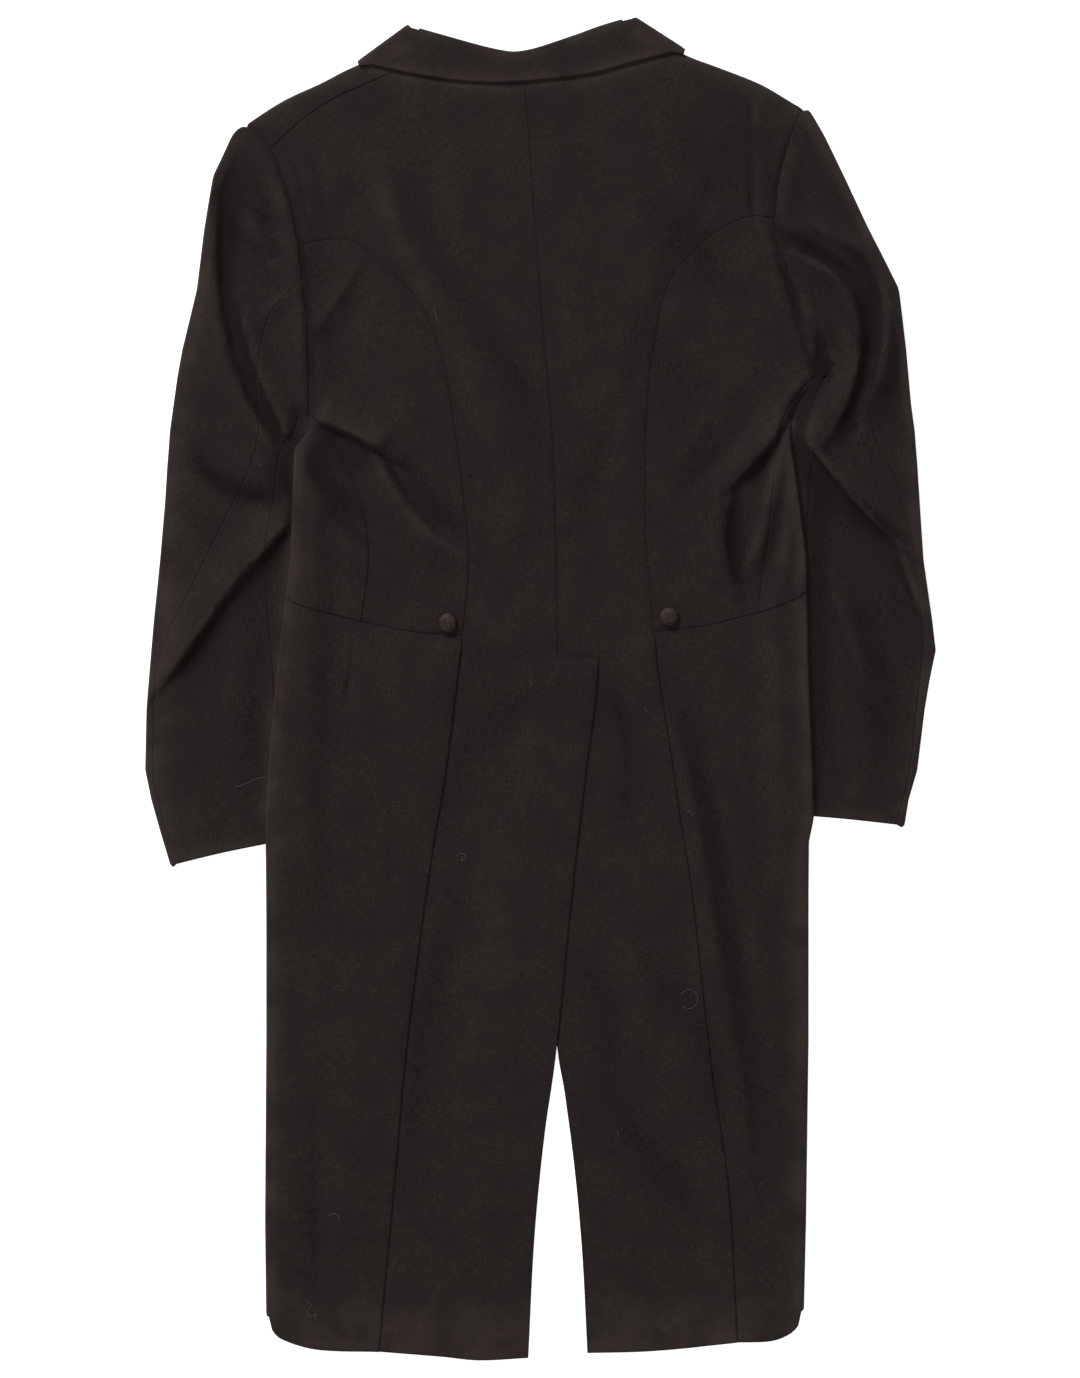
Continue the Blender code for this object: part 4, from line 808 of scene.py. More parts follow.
def within(points, outline):
    """The points that lie inside a closed outline."""
    x, y = points[:, :1], points[:, 1:]
    start, end = outline, np.roll(outline, -1, axis=0)
    spans = (start[:, 1] > y) != (end[:, 1] > y)
    rise = np.where(end[:, 1] == start[:, 1], 1.0, end[:, 1] - start[:, 1])
    crossing = start[:, 0] + (y - start[:, 1]) / rise * (end[:, 0] - start[:, 0])
    return points[(spans & (x < crossing)).sum(axis=1) % 2 == 1]


def clear_of(points, others, distance):
    """The points that stay at least a distance from all the others."""
    tree = kdtree.KDTree(len(others))
    for number, (x, y) in enumerate(others):
        tree.insert((x, y, 0.0), number)
    tree.balance()
    return points[[tree.find((x, y, 0.0))[2] > distance for x, y in points]]


def thinned(points):
    """The points without those that nearly coincide: one is kept in each small square."""
    cells = np.round(points / (CREASE_STEP * 0.9)).astype(int)
    return points[np.unique(cells, axis=0, return_index=True)[1]]


def crease_points(low, high):
    """Points set close together beside the sharp flanks of the folds that lie within a box."""
    points = [np.zeros((0, 2))]
    for crest, _, left_width, right_width in BODY_FOLDS + SLEEVE_FOLDS:
        line = fold_line(crest)
        if (line.max(axis=0) < low).any() or (line.min(axis=0) > high).any():
            continue
        way = np.gradient(line, axis=0)
        way /= np.linalg.norm(way, axis=1)[:, None]
        across = np.column_stack([-way[:, 1], way[:, 0]])
        for side, width in ((1, left_width), (-1, right_width)):
            if width < SHARP_WIDTH:
                points += [line + across * side * off for off in np.arange(0.0, 2.4 * width, CREASE_STEP)]
    return np.vstack(points)


def sheet_mesh(outline, spacing, rows=()):
    """Fills a flat outline with triangles: a rim just inside it, the rows of turns, then a grid."""
    edges = []
    points = list(outline)
    for row in rows:
        first = len(points)
        points.extend(row)
        edges.extend((first + i, first + i + 1) for i in range(len(row) - 1))
    kept = np.array(points)
    rim = clear_of(within(inset(outline, RIM_WIDTH), outline), kept, RIM_WIDTH * 0.8)
    kept = np.vstack([kept, rim])
    low, high = outline.min(axis=0), outline.max(axis=0)
    creases = thinned(clear_of(within(crease_points(low, high), outline), kept, CREASE_STEP * 0.8))
    kept = np.vstack([kept, creases])
    grid = []
    for number, up in enumerate(np.arange(low[1], high[1], spacing * 0.87)):
        shift = spacing / 2 * (number % 2)
        grid.extend((across, up) for across in np.arange(low[0] + shift, high[0], spacing))
    kept = np.vstack([kept, clear_of(within(np.array(grid), outline), kept, spacing * 0.5)])
    flat = [Vector(point) for point in kept]
    found = delaunay_2d_cdt(flat, edges, [list(range(len(outline)))], 1, 1e-4)
    return np.array([tuple(point) for point in found[0]]), [tuple(face) for face in found[2]]


@lru_cache(maxsize=None)
def free_edges():
    """The hems, cuffs and other edges that no seam joins to another panel."""
    return line_tree([curve(line) for line in (
        HEM_LEFT_BACK, HEM_LEFT_SIDE, HEM_RIGHT_BACK, HEM_RIGHT_SIDE, CUFF_LEFT_MIDDLE,
        CUFF_RIGHT_MIDDLE, COLLAR_EDGE, VENT_OUTER, VENT_STEP, PLEAT_LEFT, PLEAT_RIGHT,
    )])


@lru_cache(maxsize=None)
def rubbed_and_rim_lit_edges():
    """Edges where the nap is rubbed paler and a pale rim of light is painted: the hems and cuffs, and the coat's
    sides.
    """
    ups = np.linspace(-500.0, 215.0, 60)
    sleeve_ups = np.linspace(-140.0, 460.0, 60)
    return line_tree([
        np.column_stack([BODY_LEFT(ups), ups]), np.column_stack([BODY_RIGHT(ups), ups]),
        np.column_stack([SLEEVE_LEFT_OUT(sleeve_ups), sleeve_ups]),
        np.column_stack([SLEEVE_RIGHT_OUT(sleeve_ups), sleeve_ups]),
        *(curve(line) for line in (
            HEM_LEFT_BACK, HEM_LEFT_SIDE, HEM_RIGHT_BACK, HEM_RIGHT_SIDE, CUFF_LEFT_MIDDLE,
            CUFF_RIGHT_MIDDLE, SHOULDER_LEFT, SHOULDER_RIGHT, COLLAR_ROLL, COLLAR_EDGE,
        )),
    ])


def line_tree(lines, step=0.8):
    """A search tree over points set close together along the lines."""
    points = []
    for line in lines:
        run = np.linalg.norm(np.diff(line, axis=0), axis=1)
        along = np.concatenate([[0.0], np.cumsum(run)])
        at = np.linspace(0.0, along[-1], max(2, int(along[-1] / step)))
        points += list(zip(np.interp(at, along, line[:, 0]), np.interp(at, along, line[:, 1])))
    tree = kdtree.KDTree(len(points))
    for number, (x, y) in enumerate(points):
        tree.insert((x, y, 0.0), number)
    tree.balance()
    return tree


def away_from(tree, places):
    return np.array([tree.find((place[0], place[1], 0.0))[2] for place in places])


def set_values(mesh, name, values):
    attribute = mesh.attributes.new(name, "FLOAT", "POINT")
    attribute.data.foreach_set("value", np.asarray(values, np.float32))


def painted_shade_depth(at, layer):
    """Painted shade: how far each place lies below the cloth round it, in millimetres, so a ridge is below nought and
    gets painted light.

    The listed painted shading is added to it, and where a sleeve goes in under the body it gets painted shade as in a
    deep hollow.
    """
    around = [
        layer(at + np.array(step) * HOLLOW_REACH)
        for step in ((1, 0), (-1, 0), (0, 1), (0, -1))
    ]
    hollow = sum(around) / 4 - layer(at)
    if layer is sleeve_layer:
        x, y = at[:, 0], at[:, 1]
        from_body = np.where(x < 0, SLEEVE_LEFT_IN(y) - x, x - SLEEVE_RIGHT_IN(y))
        # painted shade where the sleeve goes in under the body's edge
        hollow += TUCK_PAINTED_SHADE * np.exp(-((from_body / TUCK) ** 2)) * (1.0 - joined(at))
        hollow += fold_height(at, SLEEVE_PAINTED_SHADING)
    elif layer in (back_layer, left_back_layer, left_skirt_layer, right_back_layer):
        hollow += fold_height(at, BODY_PAINTED_SHADING)
    return hollow


def place(obj, *nodes, slot):
    """Hands a finished piece to the frame: it rides on the coat and stands for its solids."""
    bpy.context.scene.collection.objects.link(obj)
    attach(obj, "root")
    if nodes:
        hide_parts(*nodes)


def pressed(at):
    """1 round the nape, where the seams are pressed flat, and 0 further down and out."""
    up = ramp((at[:, 1] - PRESSED_FROM) / PRESSED_RUN)
    return up * ramp((PRESSED_REACH - abs(at[:, 0])) / PRESSED_RUN)


def cloth_panel(node, outline, layer, turns=(), rows=(), seams=1.0):
    """One cut piece of cloth: its flat outline laid out over the folds and given its thickness.

    Its seams are this much of the full depth, in the thinning of the cloth and in the painted shade along them: a
    pressed one hardly shows.
    """
    sizes = bpy.context.scene.tailcoat_sizes
    spacing = sizes.point_spacing / MM
    flat, faces = sheet_mesh(inset(outline, PANEL_INSET), spacing, rows)
    places = laid(flat, layer, turns)
    places[:, 2] = np.maximum(places[:, 2], HALF_CLOTH)
    mesh = bpy.data.meshes.new(node + "_cloth")
    mesh.from_pydata((places * MM).tolist(), [], faces)
    mesh.polygons.foreach_set("use_smooth", [True] * len(mesh.polygons))
    ends = np.empty(len(mesh.loops), np.int32)
    mesh.loops.foreach_get("vertex_index", ends)
    mesh.uv_layers.new(name="cut").data.foreach_set("uv", (flat[ends] * MM).ravel())
    # rubbed paler band and painted pale rim of light along the edges
    worn = away_from(rubbed_and_rim_lit_edges(), places)
    set_values(mesh, "worn", np.exp(-((worn / RUBBED_AND_RIM_LIT_WIDTH) ** 2)))
    # painted shade in hollows and under the body's edges, painted light on crests, and the listed painted shading
    hollow = painted_shade_depth(flat, layer)
    for turn in turns:
        past = turn.past(flat) > 0
        hollow[past] = painted_shade_depth(places[past, :2], turn.other)
    set_values(mesh, "hollow", hollow)
    obj = bpy.data.objects.new(node + "_cloth", mesh)
    mesh.materials.append(wool_material())
    wall = obj.modifiers.new("cloth", "SOLIDIFY")
    wall.thickness = sizes.cloth_thickness
    wall.offset = 0.0
    from_edge = away_from(line_tree([np.vstack([outline, outline[:1]])]), flat)
    free = away_from(free_edges(), places) < 1.5
    at_edge = np.exp(-((from_edge / SEAM_WIDTH) ** 2))
    depth = seams * (1.0 - PRESSED_SHARE * pressed(flat))
    shares = 1.0 - np.where(free, 1.0 - FREE_EDGE_SHARE, (1.0 - SEAM_SHARE) * depth) * at_edge
    # painted shade along the seams
    set_values(mesh, "seam", np.where(free, 0.0, at_edge * depth))
    group = obj.vertex_groups.new(name="thickness")
    for number, share in enumerate(shares):
        group.add([number], share, "REPLACE")
    wall.vertex_group = group.name
    even = obj.modifiers.new("even_normals", "WEIGHTED_NORMAL")
    even.weight = 100
    place(obj, node, slot="wool")
    corners = flat[np.array(faces)] * MM
    first, second = corners[:, 1] - corners[:, 0], corners[:, 2] - corners[:, 0]
    area = abs(first[:, 0] * second[:, 1] - first[:, 1] * second[:, 0]).sum() / 2
    size = (flat.max(axis=0) - flat.min(axis=0)) * MM


def tucked(pleat, way):
    """The hidden edge of the cloth that is tucked under a pleat edge."""
    points = curve(pleat)
    depth = PLEAT_LAP * ramp((pleat[0][1] - PLEAT_START - points[:, 1]) / PLEAT_RUN)
    return points + np.column_stack([way * depth, np.zeros(len(points))])


def backs():
    """Each back is cut in one with the middle of its tail. The left tail laps over the right."""
    outline = chain(
        curve(NECK_SEAM_LEFT), curve(CENTRE_BACK), curve(VENT_STEP), curve(VENT_OUTER),
        curve(HEM_LEFT_BACK)[::-1], tucked(PLEAT_LEFT, -1)[::-1], curve(SIDE_BACK_LEFT)[::-1],
        curve(ARMHOLE_LEFT_BACK)[::-1], curve(SHOULDER_SEAM_LEFT)[::-1],
    )
    cloth_panel("back_left", outline, left_back_layer)
    shoulder = TopTurn(SHOULDER_RIGHT, under_layer)
    neck = curve(NECK_SEAM_RIGHT)
    outline = chain(
        neck, shoulder.foot(neck[-1:]), shoulder.unfold(curve(SHOULDER_SEAM_RIGHT)),
        shoulder.cut(curve(ARMHOLE_RIGHT_BACK)), curve(SIDE_BACK_RIGHT), curve(PLEAT_RIGHT),
        curve(HEM_RIGHT_BACK)[::-1], curve(VENT_INNER)[::-1], curve(CENTRE_BACK)[::-1],
    )
    cloth_panel(
        "back_right", outline, right_back_layer, [shoulder], shoulder.rows(84.0, 221.0),
    )


def sides():
    """The panel between the curved back seam and the side seam, from the armhole to the waist."""
    outline = chain(
        curve(ARMHOLE_LEFT_HIND), curve(ARMHOLE_LEFT_LOW), curve(SIDE_SEAM_LEFT),
        curve(WAIST_LEFT_BACK), curve(SIDE_BACK_LEFT)[::-1],
    )
    cloth_panel("side_left", outline, back_layer, seams=0.8)
    outline = chain(
        curve(ARMHOLE_RIGHT_HIND), curve(ARMHOLE_RIGHT_LOW), curve(SIDE_SEAM_RIGHT),
        curve(WAIST_RIGHT_BACK)[::-1], curve(SIDE_BACK_RIGHT)[::-1],
    )
    cloth_panel("side_right", outline, back_layer, seams=0.8)


def fronts():
    """Each front comes round the side of the coat and ends below in a lapel turned back."""
    side = SideTurn(BODY_LEFT, -1, back_layer, ARMHOLE_LEFT_UNDER[-1][1] + SEAM_INSET)
    shoulder = TopTurn(SHOULDER_LEFT, back_layer)
    roll = StraightTurn(*ROLL_LEFT, (-150, 300), surface_layer, OVERLAP_STEP / 2, after=1.5)
    outline = chain(
        side.cut(shoulder.cut(curve(ARMHOLE_LEFT_UNDER))),
        side.unfold(side.cut(curve(SIDE_SEAM_LEFT))),
        side.unfold(side.cut(curve(WAIST_LEFT_FRONT)[::-1])),
        side.cut(curve(WAIST_UNDER_LEFT)), curve(FRONT_HEM_LEFT), curve(FRONT_EDGE_LEFT),
        roll.unfold(curve(LAPEL_LEFT)), shoulder.cut(curve(FRONT_NECK_LEFT)),
        shoulder.unfold(curve(SHOULDER_SEAM_LEFT)),
        shoulder.unfold(shoulder.cut(curve(ARMHOLE_LEFT_FRONT)[::-1])),
    )
    rows = side.rows(74.0, 220.0) + shoulder.rows(-236.0, -118.0) + roll.rows(0.0, 332.0)
    cloth_panel("front_left", outline, under_layer, [side, shoulder, roll], rows, seams=0.3)
    side = SideTurn(BODY_RIGHT, 1, back_layer, ARMHOLE_RIGHT_UNDER[-1][1] + SEAM_INSET)
    roll = StraightTurn(*ROLL_RIGHT, (150, 300), surface_layer, OVERLAP_STEP / 2, after=1.5)
    outline = chain(
        side.cut(curve(ARMHOLE_RIGHT_UNDER)),
        side.unfold(side.cut(curve(SIDE_SEAM_RIGHT))),
        side.unfold(side.cut(curve(WAIST_RIGHT_FRONT))),
        side.cut(curve(WAIST_UNDER_RIGHT)), curve(FRONT_HEM_RIGHT), curve(FRONT_EDGE_RIGHT),
        roll.unfold(curve(LAPEL_RIGHT)), curve(FRONT_NECK_RIGHT), curve(SHOULDER_SEAM_RIGHT),
    )
    rows = side.rows(78.0, 250.0) + roll.rows(0.0, 333.0)
    cloth_panel("front_right", outline, under_layer, [side, roll], rows, seams=0.3)


def skirts():
    """The side of each tail, from its pleat edge round the coat's edge to a hidden front edge."""
    side = SideTurn(BODY_LEFT, -1, under_layer)
    outline = chain(
        side.cut(chain(curve(WAIST_LEFT_FRONT), curve(WAIST_LEFT_BACK))), curve(PLEAT_LEFT),
        side.cut(curve(HEM_LEFT_SIDE)[::-1]), side.unfold(side.cut(curve(SKIRT_HEM_LEFT))),
        side.unfold(curve(SKIRT_FRONT_LEFT)[::-1]),
        side.unfold(side.cut(curve(WAIST_UNDER_LEFT)[::-1])),
    )
    cloth_panel("skirt_left", outline, left_skirt_layer, [side], side.rows(-505.0, 72.0))
    side = SideTurn(BODY_RIGHT, 1, under_layer)
    outline = chain(
        side.cut(chain(curve(WAIST_RIGHT_FRONT)[::-1], curve(WAIST_RIGHT_BACK)[::-1])),
        tucked(PLEAT_RIGHT, -1), side.cut(curve(HEM_RIGHT_SIDE)),
        side.unfold(side.cut(curve(SKIRT_HEM_RIGHT))),
        side.unfold(curve(SKIRT_FRONT_RIGHT)[::-1]),
        side.unfold(side.cut(curve(WAIST_UNDER_RIGHT)[::-1])),
    )
    cloth_panel("skirt_right", outline, back_layer, [side], side.rows(-502.0, 75.0))


def sleeve(name, outer_line, inner_line, out, upper_armhole, low_armhole, under_armhole,
           hind_seam, inseam, cuff):
    """A sleeve of two pieces. The top piece lies below and comes round both of its edges."""
    cuff_hind, cuff_middle, cuff_inner = cuff
    outer = SideTurn(outer_line, out, sleeve_layer)
    inner = SideTurn(inner_line, -out, sleeve_layer, under_armhole[-1][1] + SEAM_INSET)
    strip = inner.cut(curve(inseam))
    strip[0] = inner.foot(under_armhole[-1:])[0]
    outline = chain(
        outer.cut(inner.cut(under_armhole)), inner.unfold(strip),
        inner.unfold(inner.cut(curve(cuff_inner))),
        inner.cut(curve(cuff_inner))[::-1], curve(cuff_middle)[::-1],
        outer.cut(curve(cuff_hind)[::-1]),
        outer.unfold(outer.cut(curve(cuff_hind))), outer.unfold(curve(hind_seam)[::-1]),
        outer.unfold(outer.cut(upper_armhole[::-1])),
    )
    low, high = cuff_hind[0][1] + 2.0, upper_armhole[0][1] - 2.0
    rows = outer.rows(low, high) + inner.rows(cuff_inner[-1][1] + 2.0, under_armhole[-1][1] - 2.0)
    cloth_panel("sleeve_top_" + name, outline, surface_layer, [outer, inner], rows, seams=0.25)
    outline = chain(
        curve(low_armhole), curve(inseam), curve(cuff_middle)[::-1], curve(hind_seam)[::-1],
    )
    cloth_panel(
        "sleeve_under_" + name, outline, sleeve_layer,
        seams=0.25,
    )


def sleeves():
    sleeve(
        "left", SLEEVE_LEFT_OUT, SLEEVE_LEFT_IN, -1,
        chain(curve(ARMHOLE_LEFT_FRONT), curve(ARMHOLE_LEFT_BACK), curve(ARMHOLE_LEFT_HIND)),
        ARMHOLE_LEFT_LOW, curve(ARMHOLE_LEFT_UNDER), HIND_SEAM_LEFT, INSEAM_LEFT,
        (CUFF_LEFT_HIND, CUFF_LEFT_MIDDLE, CUFF_LEFT_INNER),
    )
    sleeve(
        "right", SLEEVE_RIGHT_OUT, SLEEVE_RIGHT_IN, 1,
        chain(curve(ARMHOLE_RIGHT_BACK), curve(ARMHOLE_RIGHT_HIND)),
        ARMHOLE_RIGHT_LOW, chain(curve(ARMHOLE_RIGHT_TIP), curve(ARMHOLE_RIGHT_UNDER)),
        HIND_SEAM_RIGHT, INSEAM_RIGHT,
        (CUFF_RIGHT_HIND, CUFF_RIGHT_MIDDLE, CUFF_RIGHT_INNER),
    )


def collar():
    """Fall, stand and both ends in one strip: down at the back, under the fall, round the neck."""
    end_radius = (collar_layer(np.zeros((1, 2)))[0] - HALF_CLOTH) / 2
    roll = TopTurn(COLLAR_ROLL, stand_layer, COLLAR_STEP / 2)
    roll.low, roll.high = STAND_SEAM[0][0] - 2.0, STAND_SEAM[-1][0] + 2.0
    left, right = (
        StraightTurn(
            COLLAR_EDGE[end], COLLAR_ROLL[end], (0, 500), surface_layer, end_radius,
            end_radius + HALF_CLOTH, COLLAR_END_REACH, 1.0,
        )
        for end in (0, -1)
    )
    stand = roll.unfold(curve(STAND_SEAM))
    stand_ends = roll.foot(stand[[0, -1]])
    fall = right.cut(left.cut(curve(COLLAR_EDGE)))
    left_end, right_end = np.array(COLLAR_END_LEFT, float), np.array(COLLAR_END_RIGHT, float)
    outline = chain(
        fall,
        right.unfold(np.vstack([right.foot(fall[-1:]), right_end[1:3], right.foot(right_end[3:])])),
        right.foot(roll.foot(right_end[3:] - (3.0, 0.0))),
        stand_ends[1:], stand[::-1], stand_ends[:1],
        left.foot(roll.foot(left_end[3:] + (3.0, 0.0))),
        left.unfold(np.vstack([left.foot(left_end[3:]), left_end[2:0:-1], left.foot(fall[:1])])),
    )
    rows = roll.rows(STAND_SEAM[0][0] - 1.0, STAND_SEAM[-1][0] + 1.0)
    rows += left.rows(1.0, left.high - 3.0) + right.rows(1.0, right.high - 3.0)
    cloth_panel(
        "collar", outline, collar_layer, [roll, left, right], rows,
    )


LAYERS = {
    "back_left": lambda at: left_back_layer(at), "back_right": lambda at: right_back_layer(at),
    "skirt_left": lambda at: left_skirt_layer(at), "skirt_right": lambda at: back_layer(at),
    "sleeve": lambda at: sleeve_layer(at),
}


def buttons():
    """A covered dome at each end of the waist seam, where the pleat edges begin."""
    for name, (across, up) in BUTTON_CENTRES.items():
        wide, tall = BUTTON_WIDTHS[name]
        layer = LAYERS["skirt_left" if name == "left" else "back_right"]
        around = np.linspace(0.0, 2 * math.pi, BUTTON_SIDES, endpoint=False)
        circle = np.column_stack([wide * np.cos(around), tall * np.sin(around)])
        base = layer(circle + (across, up)).max() + HALF_CLOTH + BUTTON_GAP
        gather = 0.12 * np.cos(GATHERS * around) + 0.05 * np.cos((GATHERS + 6) * around + 1.0)
        rings = []
        for row in range(1, BUTTON_ROWS + 1):
            angle = math.pi / 2 * (1 - row / BUTTON_ROWS)
            share = math.cos(angle)
            height = BUTTON_RIM + (BUTTON_HEIGHT - BUTTON_RIM) * math.sin(angle)
            rings.append((share, height, gather * share**6))
        rings += [(0.985, BUTTON_RIM * 0.45, gather), (0.93, 0.0, gather * 0.5)]
        points = [(across, up, base + BUTTON_HEIGHT)]
        for share, height, crimp in rings:
            spread = circle * (share + crimp[:, None] / BUTTON_RIM * 0.08) + (across, up)
            points += [(x, y, base + height + c) for (x, y), c in zip(spread, crimp * (height > 0))]
        points.append((across, up, base))
        count = BUTTON_SIDES
        faces = [(0, 1 + i, 1 + (i + 1) % count) for i in range(count)]
        for row in range(len(rings) - 1):
            first = 1 + row * count
            faces += [
                (first + i, first + count + i, first + count + (i + 1) % count, first + (i + 1) % count)
                for i in range(count)
            ]
        last = 1 + (len(rings) - 1) * count
        faces += [(last + i, len(points) - 1, last + (i + 1) % count) for i in range(count)]
        mesh = bpy.data.meshes.new("button_cover_" + name)
        mesh.from_pydata((np.array(points) * MM).tolist(), [], faces)
        mesh.polygons.foreach_set("use_smooth", [True] * len(mesh.polygons))
        mesh.materials.append(button_material())
        place(bpy.data.objects.new("button_cover_" + name, mesh), "button_" + name, slot="covered_button")


def thread(line, layer, radius, points, faces):
    """Adds a fine tube that lies on a layer of the cloth to the lists of points and faces."""
    line = curve(line, 0.6)
    heights = layer(line) + HALF_CLOTH + radius * 0.8
    run = np.gradient(line, axis=0)
    run /= np.linalg.norm(run, axis=1)[:, None]
    first = len(points)
    for number, (spot, height, way) in enumerate(zip(line, heights, run)):
        thin = radius * min(1.0, 0.5 + 0.5 * min(number, len(line) - 1 - number))
        for turn in range(6):
            angle = math.pi / 3 * turn
            off = thin * math.cos(angle)
            points.append((spot[0] - way[1] * off, spot[1] + way[0] * off, height + thin * math.sin(angle)))
    for ring in range(len(line) - 1):
        for turn in range(6):
            a, b = first + 6 * ring + turn, first + 6 * ring + (turn + 1) % 6
            faces.append((a, a + 6, b + 6, b))
    faces.append(tuple(first + i for i in range(6)))
    faces.append(tuple(len(points) - 1 - i for i in range(6)))


def threads(name, lines, radius, material):
    points, faces = [], []
    for layer, line in lines:
        thread(line, LAYERS[layer], radius, points, faces)
    mesh = bpy.data.meshes.new(name)
    mesh.from_pydata((np.array(points) * MM).tolist(), [], faces)
    mesh.polygons.foreach_set("use_smooth", [True] * len(mesh.polygons))
    mesh.materials.append(material)
    place(bpy.data.objects.new(name, mesh), slot="wool")


def stitch_lines():
    """Each row of stitches as short lines along it."""
    lines = []
    for layer, line, length, step in STITCHES:
        run = curve(line, 0.5)
        along = np.concatenate([[0.0], np.cumsum(np.linalg.norm(np.diff(run, axis=0), axis=1))])
        for start in np.arange(0.5, along[-1] - length, step):
            at = np.linspace(start, start + length, 3)
            lines.append((layer, np.column_stack([np.interp(at, along, run[:, 0]), np.interp(at, along, run[:, 1])])))
    return lines


class Wire:
    """A socket of a shader tree that takes part in sums, so that its maths reads as it is written."""

    def __init__(self, shader, socket):
        self.shader, self.socket = shader, socket

    def maths(self, operation, *values):
        return self.shader.node("ShaderNodeMath", {"operation": operation}, dict(enumerate(values)))

    def __add__(self, other):
        return self.maths("ADD", self, other)

    def __sub__(self, other):
        return self.maths("SUBTRACT", self, other)

    def __rsub__(self, other):
        return self.maths("SUBTRACT", other, self)

    def __mul__(self, other):
        return self.maths("MULTIPLY", self, other)

    def __pow__(self, other):
        return self.maths("POWER", self, other)

    __radd__ = __add__
    __rmul__ = __mul__

    def sine(self):
        return self.maths("SINE", self)

    def clamp(self, low=0.0, high=1.0):
        return self.shader.node("ShaderNodeClamp", {}, {"Value": self, "Min": low, "Max": high})


class Shader:
    """A new material and its tree. Any node comes from one method."""

    def __init__(self, name):
        self.material = bpy.data.materials.new(name)
        self.material.use_nodes = True
        self.tree = self.material.node_tree
        self.tree.nodes.clear()

    def node(self, kind, settings, values, output=0):
        made = self.tree.nodes.new(kind)
        for key, value in settings.items():
            if key == "stops":
                while len(made.color_ramp.elements) < len(value):
                    made.color_ramp.elements.new(0.5)
                for stop, (position, colour) in zip(made.color_ramp.elements, value):
                    stop.position, stop.color = position, (*colour, 1.0)
            else:
                setattr(made, key, value)
        for key, value in values.items():
            if isinstance(value, Wire):
                self.tree.links.new(value.socket, made.inputs[key])
            elif made.inputs[key].type == "RGBA":
                made.inputs[key].default_value = (*value[:3], 1.0)
            else:
                made.inputs[key].default_value = value
        return Wire(self, made.outputs[output])

    def noise(self, place, size, detail=2.0, roughness=0.5):
        """Soft cloudy values from 0 to 1, with patches about a size across, in metres."""
        return self.node(
            "ShaderNodeTexNoise", {},
            {"Vector": place, "Scale": 1.0 / size, "Detail": detail, "Roughness": roughness},
        )

    def stretched(self, place, across, along):
        return self.node(
            "ShaderNodeVectorMath", {"operation": "MULTIPLY"},
            {0: place, 1: (1.0 / across, 1.0 / along, 1.0)},
        )

    def mix(self, share, first, second):
        return self.node(
            "ShaderNodeMix", {"data_type": "RGBA"}, {"Factor": share, "A": first, "B": second}, 2,
        )

    def surface(self, **values):
        sockets = {name.replace("_", " "): value for name, value in values.items()}
        shine = self.node("ShaderNodeBsdfPrincipled", {}, sockets)
        self.node_output(shine)

    def node_output(self, shine):
        made = self.tree.nodes.new("ShaderNodeOutputMaterial")
        self.tree.links.new(shine.socket, made.inputs["Surface"])


def wool_material():
    """Black worsted: a fine twill, a soft uneven nap, rubbed edges and a faint warm cast, with painted shade in
    hollows and seams, painted light on crests and a painted pale rim at the edges.
    """
    made = bpy.data.materials.get("black_wool")
    if made:
        return made
    look = bpy.context.scene.tailcoat_look
    shader = Shader("black_wool")
    cut = shader.node("ShaderNodeUVMap", {"uv_map": "cut"}, {})
    place_on = shader.node("ShaderNodeTexCoord", {}, {}, "Object")
    split = shader.node("ShaderNodeSeparateXYZ", {}, {"Vector": cut}, "X")
    across, along = split, Wire(shader, split.socket.node.outputs["Y"])
    turn = 2 * math.pi / look.weave_pitch
    twill = ((across * 0.62 + along * 0.78) * turn).sine()
    ribs = (across * (turn * 1.7)).sine() * (along * (turn * 1.3)).sine()
    slubs = shader.noise(shader.stretched(cut, 0.0010, 0.0065), 1.0, 2.0)
    picks = shader.noise(shader.stretched(cut, 0.0060, 0.0010), 1.0, 2.0)
    nap = shader.noise(place_on, 0.0014, 3.0, 0.75)
    clouds = shader.noise(shader.stretched(place_on, 0.05, 0.11), 1.0, 2.0, 0.5)
    cast = shader.noise(place_on, 0.03, 2.0)
    worn = shader.node("ShaderNodeAttribute", {"attribute_name": "worn"}, {}, "Fac")
    hollow = shader.node("ShaderNodeAttribute", {"attribute_name": "hollow"}, {}, "Fac")
    light = (clouds - 0.5) * 0.26 + (nap - 0.5) * 0.6 + (slubs + picks - 1.0) * 0.9
    # painted pale rim of light at the very edges, over the rubbed paler band
    rim = worn * worn * worn * worn * worn * worn
    # painted shade in hollows, creases and under the body's edges, and painted light on crests
    light = light + worn * 0.2 + rim * 0.75 + twill * 0.05 - hollow * look.hollow_shade
    tone = shader.mix((light + 0.44).clamp(), look.wool_dark, look.wool_light)
    tone = shader.mix(((cast - 0.42) * 3.0).clamp(0.0, 0.6), tone, look.wool_cast)
    # painted shade down in the seams
    seam = shader.node("ShaderNodeAttribute", {"attribute_name": "seam"}, {}, "Fac")
    tone = shader.mix((seam * look.seam_shade).clamp(), tone, look.seam_shade_colour)
    weave = twill * 0.35 + ribs * 0.25 + nap * 0.9 + (slubs + picks) * 0.5
    bump = shader.node(
        "ShaderNodeBump", {}, {"Strength": 0.55, "Distance": look.weave_depth, "Height": weave},
    )
    shader.surface(
        Base_Color=tone, Roughness=(0.86 + (nap - 0.5) * 0.12).clamp(), Normal=bump,
        Specular_IOR_Level=0.16, Sheen_Weight=look.wool_sheen, Sheen_Roughness=0.42,
        Sheen_Tint=look.sheen_tint,
    )
    return shader.material


